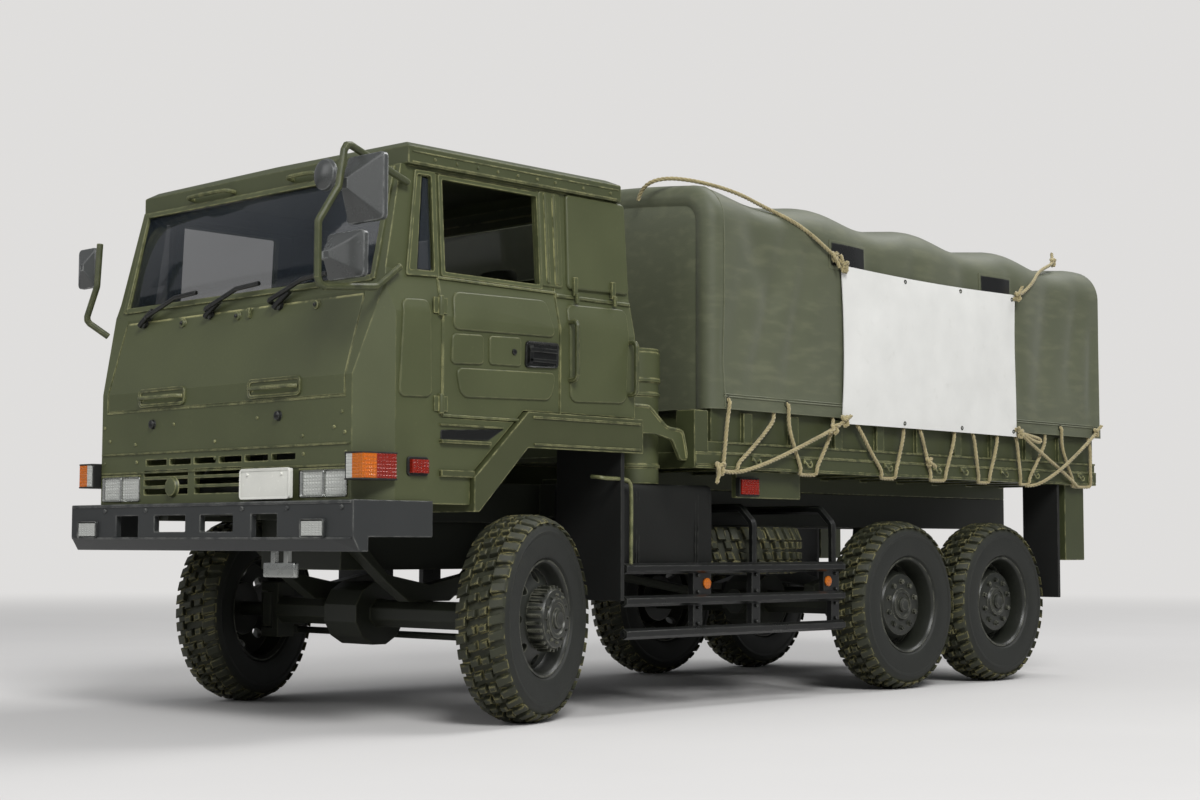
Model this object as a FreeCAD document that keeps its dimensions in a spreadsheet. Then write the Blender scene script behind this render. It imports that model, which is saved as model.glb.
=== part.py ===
import FreeCAD, Part
import math
import operator
import os

import Sketcher
from FreeCAD import Rotation, Vector

# Scale model, 1:35, of a six-wheeled military cargo truck with a canvas canopy.
# Millimetres. The truck faces -Y, its left side is +X, +Z is up, and the origin
# lies on the ground below the middle of the outer box.

SIZES = {
    # Wheels and tyres
    "tyre_radius": 15.4,
    "tyre_width": 8.2,
    "lug_depth": 0.9,
    "lug_band": 3.6,
    "shoulder_drop": 1.5,
    "rim_radius": 8.8,
    "bead_width": 6.8,
    "rim_lip": 0.9,
    "hub_radius": 4.4,
    "hub_reach": 2.6,
    "hub_length": 1.6,
    "rim_web": 0.9,
    "wall_bulge": 2.6,
    "front_dish_depth": 0.9,
    "rear_dish_depth": 2.6,
    "rear_hub_depth": 0.4,
    "stub_end_gap": 0.3,
    "stub_radius": 1.2,
    "shaft_clearance": 0.05,
    "front_track": 64.2,
    "rear_track": 59.8,
    # Axles and steering
    "front_axle_y": -64.6,
    "rear_axle_y": 34.7,
    "rear_axle_pitch": 32.1,
    "steer_angle": 19.0,
    "kingpin_offset": 5.2,
    "kingpin_radius": 0.8,
    "knuckle_radius": 1.7,
    "knuckle_height": 5.6,
    "yoke_plate": 1.5,
    "yoke_gap": 0.25,
    "steering_arm": 7.5,
    "arm_width": 1.6,
    "arm_thickness": 1.2,
    "tie_pin_radius": 0.45,
    "tie_eye_height": 1.3,
    "tie_eye_radius": 0.95,
    "tie_rod_radius": 0.55,
    "axle_tube_radius": 2.1,
    "diff_radius": 5.0,
    "diff_width": 8.0,
    "driveline_x": -3.0,
    "drive_shaft_radius": 0.9,
    # Frame
    "rail_outer_x": 13.0,
    "rail_width": 3.0,
    "rail_bottom": 29.8,
    "rail_height": 6.4,
    "rail_wall": 0.8,
    "rail_front_y": -94.0,
    "rail_rear_y": 100.5,
    "crossmember_width": 4.0,
    # Springs, engine and driveline
    "spring_reach": 17.0,
    "spring_leaf": 1.3,
    "spring_hanger": 2.4,
    "case_front_y": -32.0,
    "case_rear_y": -20.0,
    "case_bottom": 20.5,
    "engine_front_y": -80.0,
    "engine_rear_y": -50.0,
    # Cab
    "cab_half_width": 34.6,
    "cab_belt_half_width": 33.2,
    "cab_eaves_half_width": 32.2,
    "cab_face_half_width": 31.3,
    "cab_front_y": -95.7,
    "cab_corner_y": -90.6,
    "cab_rear_y": -41.2,
    "cab_bottom": 32.0,
    "cab_wall": 1.0,
    "hood_seam_height": 47.0,
    "face_bend_height": 50.0,
    "shoulder_height": 59.0,
    "belt_height": 65.1,
    "screen_foot_y": -91.9,
    "screen_foot_height": 63.3,
    "screen_head_y": -88.0,
    "roof_front_y": -87.3,
    "roof_rear_y": -42.9,
    "roof_half_width": 33.1,
    "roof_rise": 3.5,
    "roof_edge_drop": 0.9,
    "roof_edge_width": 2.0,
    "cab_floor_height": 46.6,
    "panel_gap": 0.15,
    "door_front_y": -81.9,
    "door_rear_y": -58.0,
    "door_bottom": 44.4,
    "window_sill": 65.4,
    "window_height": 13.8,
    "window_header": 1.3,
    "window_front_y": -80.6,
    "window_rear_y": -61.2,
    "quarter_front_y": -85.6,
    "quarter_rear_y": -82.6,
    "screen_half_width": 30.4,
    "screen_border": 0.9,
    "glass_thickness": 0.5,
    "rear_window_half_width": 17.0,
    "door_frame": 0.7,
    "quarter_top_width": 1.5,
    "lid_half_width": 29.8,
    "roof_camber": 0.5,
    "rear_window_sill": 70.0,
    "strip_half_width": 19.2,
    "strip_height": 38.4,
    "slot_height": 0.9,
    "slot_bridge": 0.9,
    "slot_pitch": 1.4,
    "grille_low": 33.9,
    "grille_left_x": -19.2,
    "grille_right_x": 5.9,
    # Cab furniture
    "seat_rear_y": -44.0,
    "seat_outer_x": 27.5,
    "driver_seat_width": 14.5,
    "double_seat_width": 26.0,
    "seat_length": 14.5,
    "seat_height": 8.6,
    "seat_back_height": 24.0,
    "seat_back_depth": 2.6,
    "dash_bottom": 52.0,
    "dash_top": 62.2,
    "dash_rear_y": -83.4,
    "steering_wheel_x": 19.0,
    "steering_wheel_radius": 6.0,
    "steering_wheel_rod": 0.5,
    "steering_wheel_rake": 30.0,
    "steering_wheel_reach": 4.2,
    "steering_column_drop": 5.4,
    # Lamps and plate
    "lamp_inner_x": 20.2,
    "lamp_outer_x": 30.6,
    "lamp_bottom": 32.9,
    "lamp_top": 36.8,
    "lamp_recess": 0.4,
    "signal_inner_x": 31.6,
    "signal_outer_x": 35.6,
    "signal_front_y": -97.2,
    "signal_rear_y": -90.8,
    "signal_bottom": 35.2,
    "signal_top": 39.0,
    "marker_y": -86.1,
    "marker_height": 37.3,
    "marker_radius": 1.0,
    "marker_depth": 0.9,
    "plate_left_x": 8.0,
    "plate_width": 11.6,
    "plate_bottom": 32.8,
    "plate_height": 4.3,
    "plate_front_y": -97.2,
    # Wipers, mirrors and handles
    "wiper_left_x": -23.0,
    "wiper_pitch": 16.0,
    "wiper_reach": 13.0,
    "wiper_lift": 2.6,
    "wiper_radius": 0.4,
    "stay_radius": 0.55,
    "stay_gap": 0.3,
    "stay_x": 35.0,
    "stay_front_y": -104.9,
    "stay_foot_height": 60.9,
    "stay_jog_height": 69.8,
    "stay_top_rise": 1.9,
    "stay_end_drop": 2.9,
    "right_stay_foot": 60.0,
    "right_mirror_x": 34.5,
    "right_mirror_width": 6.0,
    "right_mirror_height": 6.5,
    "right_mirror_rise": 8.0,
    "right_stay_rise": 15.0,
    "round_mirror_x": 22.5,
    "round_mirror_y": -94.5,
    "round_mirror_height": 79.2,
    "round_mirror_radius": 2.4,
    "round_mirror_depth": 1.0,
    "mirror_setback": 4.7,
    "mirror_depth": 1.6,
    "main_mirror_x": 34.0,
    "main_mirror_bottom": 70.0,
    "main_mirror_width": 8.0,
    "main_mirror_height": 9.3,
    "low_mirror_x": 29.8,
    "low_mirror_bottom": 62.5,
    "low_mirror_width": 8.2,
    "low_mirror_height": 6.6,
    "handle_radius": 0.45,
    "handle_stand": 1.6,
    "front_handle_y": -55.9,
    "front_handle_low": 51.3,
    "front_handle_high": 60.2,
    "rear_handle_y": -42.6,
    "rear_handle_low": 49.8,
    "rear_handle_high": 58.0,
    "intake_x": 26.5,
    "intake_y": -33.0,
    "intake_radius": 4.4,
    "intake_top": 58.0,
    "intake_cap": 5.0,
    "intake_cap_lip": 0.3,
    # Fenders and front guards
    "fender_half_width": 35.5,
    "fender_inner_x": 19.0,
    "fender_top": 46.0,
    "fender_underside": 40.6,
    "fender_rear_y": -40.3,
    "fender_bend_y": -65.5,
    "fender_low_y": -76.3,
    "fender_low_height": 36.0,
    "fender_foot_height": 31.0,
    "fender_foot_width": 1.0,
    "fender_sheet": 0.8,
    "front_flap_y": -43.6,
    "front_flap_bottom": 17.6,
    # Bumper
    "bumper_half_width": 35.25,
    "bumper_front_y": -98.5,
    "bumper_top": 32.4,
    "bumper_bend": 27.3,
    "bumper_bottom": 25.3,
    "bumper_depth": 2.8,
    "bumper_wrap_y": -84.0,
    "bumper_wall": 1.0,
    "bumper_chamfer": 1.2,
    "bumper_hole_left": -22.5,
    "bumper_hole_right": 12.3,
    "bumper_hole_width": 6.0,
    "bumper_hole_bottom": 27.1,
    "bumper_hole_top": 30.6,
    "bumper_slot_left": -12.1,
    "bumper_slot_right": -0.2,
    "bumper_slot_width": 8.1,
    "bumper_slot_bottom": 28.1,
    "fog_outer_x": 32.8,
    "fog_right_x": 24.1,
    "fog_width": 5.2,
    "fog_bottom": 27.3,
    "fog_height": 2.4,
    # Cargo bed
    "bed_half_width": 35.2,
    "bed_front_y": -27.6,
    "bed_rear_y": 100.5,
    "bed_bottom": 38.8,
    "bed_floor": 41.5,
    "bed_sheet": 1.0,
    "bed_rim": 1.5,
    "bed_ledge_x": 34.95,
    "bed_ledge_top": 43.3,
    "post_width": 4.0,
    "post_depth": 3.4,
    "board_half_width": 34.5,
    "board_thickness": 1.1,
    "board_top": 60.0,
    "stake_width": 2.2,
    # Canopy
    "canopy_half_width": 35.7,
    "canopy_front_y": -23.8,
    "canopy_rear_y": 101.6,
    "canopy_bottom": 48.7,
    "canopy_front_top": 88.7,
    "canopy_rear_top": 86.2,
    "canopy_corner": 6.5,
    "canopy_sag": 1.0,
    "canopy_arch": 1.6,
    "bow_radius": 0.5,
    "bow_drop": 1.0,
    "bow_setback": 1.8,
    "canopy_cloth": 0.8,
    "canopy_bow_inset": 1.4,
    # Banner
    "banner_front_y": 11.1,
    "banner_rear_y": 68.3,
    "banner_bottom": 47.7,
    "banner_top": 75.8,
    "banner_thickness": 0.3,
    "banner_clearance": 0.3,
    # Side equipment
    "side_box_front_y": -42.9,
    "side_box_rear_y": -19.8,
    "side_box_bottom": 22.4,
    "side_box_top": 36.2,
    "side_box_outer_x": 33.0,
    "side_box_bevel": 1.0,
    "tank_outer_x": 31.2,
    "tank_bevel": 2.2,
    "side_box_inner_x": 18.0,
    "guard_x": 34.0,
    "guard_front_y": -43.2,
    "guard_rear_y": 13.6,
    "guard_low": 12.4,
    "guard_pitch": 5.1,
    "guard_tube": 0.75,
    "spare_x": 16.6,
    "spare_y": -0.5,
    "spare_bottom": 21.3,
    "tank_rear_y": -12.0,
    "guard_foot_y": -26.1,
    "guard_post_front_y": -11.1,
    "guard_post_rear_y": 11.0,
    "guard_post_width": 2.2,
    "guard_tube_x": 33.0,
    "guard_tube_height": 32.6,
    "guard_tube_drop": 2.6,
    "reflector_radius": 0.9,
    "reflector_depth": 0.5,
    "side_lamp_front_y": -14.4,
    "side_lamp_length": 5.0,
    "side_lamp_bottom": 34.6,
    "side_lamp_height": 2.9,
    "side_lamp_depth": 1.2,
    "lamp_plate_outer_x": 33.0,
    "lamp_plate_rear_y": 3.0,
    "lamp_plate_bottom": 34.2,
    "rear_flap_inner_x": 26.5,
    "tail_inner_x": 28.5,
    "tail_front_y": 90.0,
    "tail_rear_y": 97.5,
    "tail_bottom": 23.4,
    "tail_lamp_radius": 1.7,
    "tail_lamp_depth": 1.2,
    "hook_reach": 4.9,
    "hook_radius": 1.6,
    "hook_rod": 0.9,
    "rear_flap_y": 86.0,
    "rear_flap_bottom": 15.9,
}

DOCUMENT = FreeCAD.newDocument("CargoTruck")
SHEET = DOCUMENT.addObject("Spreadsheet::Sheet", "Sizes")
for row, (alias, number) in enumerate(SIZES.items(), start=1):
    SHEET.set(f"A{row}", alias)
    SHEET.set(f"B{row}", str(number))
    SHEET.setAlias(f"B{row}", alias)
DOCUMENT.recompute()


class Size:
    """A number together with the sheet formula that gives it."""

    def __init__(self, value, formula):
        self.value = value
        self.formula = formula

    def __add__(self, other):
        return combined(self, other, "+")

    def __radd__(self, other):
        return combined(other, self, "+")

    def __sub__(self, other):
        return combined(self, other, "-")

    def __rsub__(self, other):
        return combined(other, self, "-")

    def __mul__(self, other):
        return combined(self, other, "*")

    def __rmul__(self, other):
        return combined(other, self, "*")

    def __truediv__(self, other):
        return combined(self, other, "/")

    def __neg__(self):
        return combined(0.0, self, "-")


OPERATIONS = {
    "+": operator.add,
    "-": operator.sub,
    "*": operator.mul,
    "/": operator.truediv,
}


def as_size(amount):
    """A Size as it is, and a plain number as a Size."""
    return amount if isinstance(amount, Size) else Size(float(amount), f"({amount})")


def combined(left, right, sign):
    left, right = as_size(left), as_size(right)
    value = OPERATIONS[sign](left.value, right.value)
    return Size(value, f"({left.formula} {sign} {right.formula})")


def sine(angle):
    return Size(math.sin(math.radians(angle.value)), f"sin({angle.formula})")


def cosine(angle):
    return Size(math.cos(math.radians(angle.value)), f"cos({angle.formula})")


class SizeSheet:
    """Reads the sheet's cells as attributes."""

    def __getattr__(self, alias):
        return Size(float(SHEET.get(alias)), f"Sizes.{alias}")


S = SizeSheet()
NODES = {}
SIDES = (1, -1)
WINDOW_HEAD = S.window_sill + S.window_height
DOOR_TOP = WINDOW_HEAD + S.door_frame
EAVES = WINDOW_HEAD + S.window_header
ROOF_TOP = EAVES + S.roof_rise
AXIS_TURN = {
    "x": Rotation(Vector(0, 1, 0), 90),
    "y": Rotation(Vector(1, 0, 0), -90),
    "z": Rotation(),
}


BEND_CHORDS = 2


def bind(thing, name, amount):
    thing.setExpression(name, as_size(amount).formula)


def point(place):
    """The vector of a place given as three sizes."""
    return Vector(*[as_size(coordinate).value for coordinate in place])


def node(label, pieces):
    """Name a sub-part. Several pieces that don't touch become one compound."""
    if isinstance(pieces, list):
        compound = DOCUMENT.addObject("Part::Compound", label)
        compound.Links = pieces
        pieces = compound
    pieces.Label = label
    NODES[label] = pieces
    return pieces


def box(x, y, z):
    """A block between two limits along each axis."""
    block = DOCUMENT.addObject("Part::Box", "Block")
    for name, letter, (low, high) in zip(("Length", "Width", "Height"), "xyz", (x, y, z)):
        bind(block, name, as_size(high) - low)
        bind(block, f"Placement.Base.{letter}", low)
    return block


def rod(start, axis, length, radius):
    """A round bar from its start along one axis."""
    bar = DOCUMENT.addObject("Part::Cylinder", "Rod")
    bar.Placement = FreeCAD.Placement(Vector(), AXIS_TURN[axis])
    for letter, coordinate in zip("xyz", start):
        bind(bar, f"Placement.Base.{letter}", coordinate)
    bind(bar, "Radius", radius)
    bind(bar, "Height", length)
    return bar


def bar(start, axis, length, radius, sides=8):
    """A straight bar of flat facets, drawn round a radius, with a flat towards each axis."""
    piece = DOCUMENT.addObject("Part::Prism", "Bar")
    piece.Polygon = sides
    turn = AXIS_TURN[axis].multiply(Rotation(Vector(0, 0, 1), 180 / sides))
    piece.Placement = FreeCAD.Placement(Vector(), turn)
    for letter, coordinate in zip("xyz", start):
        bind(piece, f"Placement.Base.{letter}", coordinate)
    bind(piece, "Circumradius", as_size(radius) * (1 / math.cos(math.pi / sides)))
    bind(piece, "Height", length)
    return piece


def prism(plane, outline, low, high):
    """A PartDesign pad of a straight-sided outline on an origin plane.

    The outline's pairs run along Y and Z on YZ, X and Z on XZ, and X and Y on XY.
    The pad reaches from low to high along the third axis.
    """
    body = DOCUMENT.addObject("PartDesign::Body", "Body")
    sketch = body.newObject("Sketcher::SketchObject", "Outline")
    origin_plane = [item for item in body.Origin.OriginFeatures if item.Role == f"{plane}_Plane"][0]
    sketch.AttachmentSupport = [(origin_plane, "")]
    sketch.MapMode = "FlatFace"
    corners = [(as_size(first), as_size(second)) for first, second in outline]
    count = len(corners)
    for index, (first, second) in enumerate(corners):
        next_first, next_second = corners[(index + 1) % count]
        start = Vector(first.value, second.value, 0)
        end = Vector(next_first.value, next_second.value, 0)
        sketch.addGeometry(Part.LineSegment(start, end), False)
    for index in range(count):
        sketch.addConstraint(Sketcher.Constraint("Coincident", index, 2, (index + 1) % count, 1))
    for index, corner in enumerate(corners):
        for kind, coordinate in zip(("DistanceX", "DistanceY"), corner):
            limit = Sketcher.Constraint(kind, -1, 1, index, 1, coordinate.value)
            number = sketch.addConstraint(limit)
            sketch.setExpression(f"Constraints[{number}]", coordinate.formula)
    offset = -as_size(high) if plane == "XZ" else low
    bind(sketch, "AttachmentOffset.Base.z", offset)
    pad = body.newObject("PartDesign::Pad", "Pad")
    pad.Profile = sketch
    bind(pad, "Length", as_size(high) - low)
    return body


def fuse(pieces):
    joined = DOCUMENT.addObject("Part::MultiFuse", "Fuse")
    joined.Shapes = pieces
    joined.Refine = True
    return joined


def common(pieces):
    shared = DOCUMENT.addObject("Part::MultiCommon", "Common")
    shared.Shapes = pieces
    shared.Refine = True
    return shared


def cut(base, tools):
    tool = tools if not isinstance(tools, list) else (tools[0] if len(tools) == 1 else fuse(tools))
    result = DOCUMENT.addObject("Part::Cut", "Cut")
    result.Base = base
    result.Tool = tool
    result.Refine = True
    return result


def shape_feature(shape):
    """A feature whose shape is worked out here from the sheet's sizes."""
    feature = DOCUMENT.addObject("Part::Feature", "Shape")
    feature.Shape = shape
    return feature


def placed(shape, x=0.0, y=0.0, z=0.0, turn=None, axis=(0, 0, 1)):
    """A copy of a shape, turned about its origin and then moved."""
    feature = shape_feature(shape)
    feature.Placement = FreeCAD.Placement(Vector(), Rotation(Vector(*axis), 0.0 if turn is None else 1.0))
    for letter, coordinate in zip("xyz", (x, y, z)):
        bind(feature, f"Placement.Base.{letter}", coordinate)
    if turn is not None:
        bind(feature, "Placement.Rotation.Angle", turn)
    return feature


def closed_solid(faces):
    shell = Part.makeShell(faces)
    shell.sewShape()
    solid = Part.Solid(shell)
    if solid.Volume < 0:
        solid.reverse()
    return solid


def flat_face(corners):
    return Part.Face(Part.makePolygon(corners + corners[:1]))


def turned(profile, sides):
    """A solid of flat facets, turned about the X axis from a line of (x, radius), with flat ends."""
    rings = []
    for along, radius in profile:
        along, radius = as_size(along).value, as_size(radius).value
        ring = []
        for step in range(sides):
            angle = 2 * math.pi * step / sides
            ring.append(Vector(along, radius * math.cos(angle), radius * math.sin(angle)))
        rings.append(ring)
    faces = [flat_face(rings[0]), flat_face(rings[-1])]
    for ring, other in zip(rings, rings[1:]):
        for step in range(sides):
            after = (step + 1) % sides
            faces.append(flat_face([ring[step], ring[after], other[after], other[step]]))
    return closed_solid(faces)


def hoop(radius, thickness, sides=16, section=6):
    """A flat-sided hoop about the Z axis."""
    radius, thickness = as_size(radius).value, as_size(thickness).value
    rings = []
    for step in range(sides):
        angle = 2 * math.pi * step / sides
        outward = Vector(math.cos(angle), math.sin(angle), 0)
        ring = []
        for corner in range(section):
            turn = 2 * math.pi * corner / section
            reach = outward * (radius + thickness * math.cos(turn))
            ring.append(reach + Vector(0, 0, thickness * math.sin(turn)))
        rings.append(ring)
    faces = []
    for ring, after in zip(rings, rings[1:] + rings[:1]):
        for corner in range(section):
            following = (corner + 1) % section
            faces.append(flat_face([ring[corner], ring[following], after[following], after[corner]]))
    return closed_solid(faces)


def rounded_path(places, bend):
    """The points of a route whose corners are rounded to the bend radius in short chords."""
    points = [point(place) for place in places]
    path = [points[0]]
    for before, corner, after in zip(points, points[1:], points[2:]):
        inward = (before - corner).normalize()
        outward = (after - corner).normalize()
        turn = math.pi - inward.getAngle(outward)
        reach = bend * math.tan(turn / 2)
        centre = corner + (inward + outward).normalize() * (bend / math.cos(turn / 2))
        first = corner + inward * reach - centre
        last = corner + outward * reach - centre
        for step in range(BEND_CHORDS + 1):
            share = step / BEND_CHORDS
            arm = first * math.sin((1 - share) * turn) + last * math.sin(share * turn)
            path.append(centre + arm * (1 / math.sin(turn)))
    return path + [points[-1]]


def mitre_ring(ring, travel, place, facing):
    """The corners of a section carried along its run to the mitre plane at the run's end."""
    carried = []
    for corner in ring:
        gap = (place - corner).dot(facing) / travel.dot(facing)
        carried.append(corner + travel * gap)
    return carried


def bent_rod(places, radius, bend, sides=6):
    """A rod of flat facets through the places, with each corner rounded to the bend radius."""
    radius = as_size(radius).value
    path = rounded_path(places, as_size(bend).value)
    runs = [(after - before).normalize() for before, after in zip(path, path[1:])]
    across = runs[0].cross(Vector(0, 0, 1) if abs(runs[0].z) < 0.9 else Vector(1, 0, 0)).normalize()
    upward = runs[0].cross(across)
    ring = []
    for step in range(sides):
        angle = 2 * math.pi * (step + 0.5) / sides
        ring.append(path[0] + across * (radius * math.cos(angle)) + upward * (radius * math.sin(angle)))
    faces = [flat_face(ring)]
    for index, run in enumerate(runs):
        facing = run + runs[index + 1] if index + 1 < len(runs) else run
        after = mitre_ring(ring, run, path[index + 1], facing)
        for step in range(sides):
            following = (step + 1) % sides
            faces.append(flat_face([ring[step], ring[following], after[following], after[step]]))
        ring = after
    faces.append(flat_face(ring))
    return shape_feature(closed_solid(faces))


# Wheels. Each is drawn about the X axis, its outer face towards +X.

TREAD_PITCHES = 18
RIM_FACETS = 14
LUG_FOOT = 0.25
LUG_TOP = 0.17

TREAD_FACE = S.tyre_radius - S.lug_depth
HALF_TYRE = S.tyre_width / 2
HALF_BEAD = S.bead_width / 2
TYRE_BORE = (S.rim_radius + S.shaft_clearance) / math.cos(math.pi / TREAD_PITCHES)
WHEEL_BORE = S.stub_radius + S.shaft_clearance


def tyre_shape():
    """A carcass with bulged walls and a staggered row of lugs on each half of the tread."""

    def corner(along, radius, pitches):
        angle = 2 * math.pi * pitches / TREAD_PITCHES
        radius = as_size(radius).value
        return Vector(along.value, radius * math.cos(angle), radius * math.sin(angle))

    shoulder = TREAD_FACE - S.shoulder_drop
    wall = [(HALF_BEAD, TYRE_BORE), (HALF_TYRE, S.rim_radius + S.wall_bulge), (HALF_TYRE, shoulder)]
    faces = []
    for pitch in range(TREAD_PITCHES):
        for side, shift in ((1, 0.0), (-1, 0.5)):
            middle = pitch + shift
            edge = S.lug_band * side
            centre = S.lug_band * 0
            foot = [middle - LUG_FOOT, middle + LUG_FOOT, middle + 1 - LUG_FOOT]
            top = [middle - LUG_TOP, middle + LUG_TOP]
            lug = []
            for along in (edge, centre):
                lug.append([corner(along, TREAD_FACE, foot[0]), corner(along, S.tyre_radius, top[0]),
                            corner(along, S.tyre_radius, top[1]), corner(along, TREAD_FACE, foot[1]),
                            corner(along, TREAD_FACE, foot[2])])
            outer, inner = lug
            for index in range(4):
                faces.append(flat_face([outer[index], outer[index + 1], inner[index + 1], inner[index]]))
            faces.append(flat_face(inner[:4]))
            rings = [[corner(along * side, radius, middle + step) for step in (-0.5, 0.5)]
                     for along, radius in wall]
            low, high = rings[-1]
            faces.append(flat_face([low, high, outer[2], outer[1]]))
            faces.append(flat_face([low, outer[1], outer[0]]))
            faces.append(flat_face([high, outer[3], outer[2]]))
            faces.append(flat_face([high, outer[4], outer[3]]))
            for near, far in zip(rings, rings[1:]):
                faces.append(flat_face([near[0], near[1], far[1], far[0]]))
            opposite = corner(HALF_BEAD * -side, TYRE_BORE, middle)
            faces.append(flat_face([rings[0][0], rings[0][1], opposite]))
    return closed_solid(faces)


def rim_shape(dish_x, hub_x):
    """A pressed rim: seat, lip, dish and hub, with a blind bore for the stub axle."""
    inner = S.rim_radius - S.rim_lip
    web = S.rim_web
    bore = WHEEL_BORE / math.cos(math.pi / RIM_FACETS)
    return turned([
        (hub_x - web, bore),
        (dish_x - web - S.hub_length, bore),
        (dish_x - web - S.hub_length, S.hub_radius),
        (dish_x - web, inner),
        (-HALF_BEAD, inner),
        (-HALF_BEAD, S.rim_radius),
        (HALF_BEAD, S.rim_radius),
        (HALF_BEAD, inner),
        (dish_x, inner),
        (dish_x, S.hub_radius + web),
        (hub_x - web, S.hub_radius),
        (hub_x, S.hub_radius * 0.6),
    ], RIM_FACETS)


FRONT_DISH = HALF_BEAD - S.front_dish_depth
FRONT_HUB = HALF_BEAD + S.hub_reach
REAR_DISH = HALF_BEAD - S.rear_dish_depth
REAR_HUB = HALF_BEAD - S.rear_hub_depth

TYRE = tyre_shape()
FRONT_RIM = rim_shape(FRONT_DISH, FRONT_HUB)
REAR_RIM = rim_shape(REAR_DISH, REAR_HUB)

HALF_FRONT_TRACK = S.front_track / 2
HALF_REAR_TRACK = S.rear_track / 2
KINGPIN_X = HALF_FRONT_TRACK - S.kingpin_offset * cosine(S.steer_angle)
REAR_AXLES = {"rear_fore": S.rear_axle_y, "rear_aft": S.rear_axle_y + S.rear_axle_pitch}
SIDE_NAMES = {1: "left", -1: "right"}


def make_wheels():
    """Six wheels on the axles. The front pair follows the steering angle."""
    for side, name in SIDE_NAMES.items():
        turn = S.steer_angle if side > 0 else S.steer_angle + 180
        across = KINGPIN_X * side + S.kingpin_offset * side * cosine(S.steer_angle)
        along = S.front_axle_y + S.kingpin_offset * side * sine(S.steer_angle)
        node(f"tyre_front_{name}", placed(TYRE, across, along, S.tyre_radius, turn))
        node(f"rim_front_{name}", placed(FRONT_RIM, across, along, S.tyre_radius, turn))
        for axle, axle_y in REAR_AXLES.items():
            turn = as_size(0 if side > 0 else 180)
            across = HALF_REAR_TRACK * side
            node(f"tyre_{axle}_{name}", placed(TYRE, across, axle_y, S.tyre_radius, turn))
            node(f"rim_{axle}_{name}", placed(REAR_RIM, across, axle_y, S.tyre_radius, turn))


SPARE_Z = S.spare_bottom + HALF_TYRE


def make_spare():
    """The spare lies flat under the frame, its dish downwards, hung on a plate and a post."""
    flat = as_size(90)
    node("spare_tyre", placed(TYRE, S.spare_x, S.spare_y, SPARE_Z, flat, (0, 1, 0)))
    node("spare_rim", placed(REAR_RIM, S.spare_x, S.spare_y, SPARE_Z, flat, (0, 1, 0)))


def make_knuckles():
    """Each knuckle turns on its kingpin and carries the stub axle and the steering arm."""
    for side, name in SIDE_NAMES.items():
        low = S.tyre_radius - S.knuckle_height / 2
        pin_low = low - S.yoke_gap - S.yoke_plate
        pin_length = S.knuckle_height + 2 * (S.yoke_gap + S.yoke_plate)
        hub_x = FRONT_HUB - S.rim_web - S.stub_end_gap
        stub_start = 0 if side > 0 else -(S.kingpin_offset + hub_x)
        half_arm = S.arm_width / 2
        tie_pin_length = S.yoke_gap + S.tie_eye_height
        pieces = [
            rod((0, 0, pin_low), "z", pin_length, S.kingpin_radius),
            bar((0, 0, low), "z", S.knuckle_height, S.knuckle_radius),
            rod((stub_start, 0, S.tyre_radius), "x", S.kingpin_offset + hub_x, S.stub_radius),
            box((-half_arm, half_arm), (0, S.steering_arm), (low, low + S.arm_thickness)),
            bar((0, S.steering_arm, low), "z", S.arm_thickness, half_arm),
            rod((0, S.steering_arm, low - tie_pin_length), "z", tie_pin_length, S.tie_pin_radius),
        ]
        knuckle = fuse(pieces)
        knuckle.Placement = FreeCAD.Placement(Vector(), Rotation(Vector(0, 0, 1), 1.0))
        bind(knuckle, "Placement.Base.x", KINGPIN_X * side)
        bind(knuckle, "Placement.Base.y", S.front_axle_y)
        bind(knuckle, "Placement.Rotation.Angle", S.steer_angle)
        node(f"knuckle_{name}", knuckle)


def make_tie_rod():
    """A straight rod behind the axle joins the two steering arms through an eye at each end."""
    low = S.tyre_radius - S.knuckle_height / 2 - S.yoke_gap - S.tie_eye_height
    pin_y = S.front_axle_y + S.steering_arm * cosine(S.steer_angle)
    sweep = -(S.steering_arm * sine(S.steer_angle))
    pins = [sweep + KINGPIN_X, sweep - KINGPIN_X]
    eyes = [bar((pin_x, pin_y, low), "z", S.tie_eye_height, S.tie_eye_radius) for pin_x in pins]
    middle = low + S.tie_eye_height / 2
    reach = S.tie_eye_radius - 0.1
    link = bar((pins[1] + reach, pin_y, middle), "x", 2 * KINGPIN_X - 2 * reach, S.tie_rod_radius)
    bores = [rod((pin_x, pin_y, low - 1), "z", S.tie_eye_height + 2, S.tie_pin_radius + S.shaft_clearance)
             for pin_x in pins]
    node("tie_rod", cut(fuse(eyes + [link]), bores))


# Frame, axles and driveline

RAIL_TOP = S.rail_bottom + S.rail_height
RAIL_INNER_X = S.rail_outer_x - S.rail_width


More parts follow.
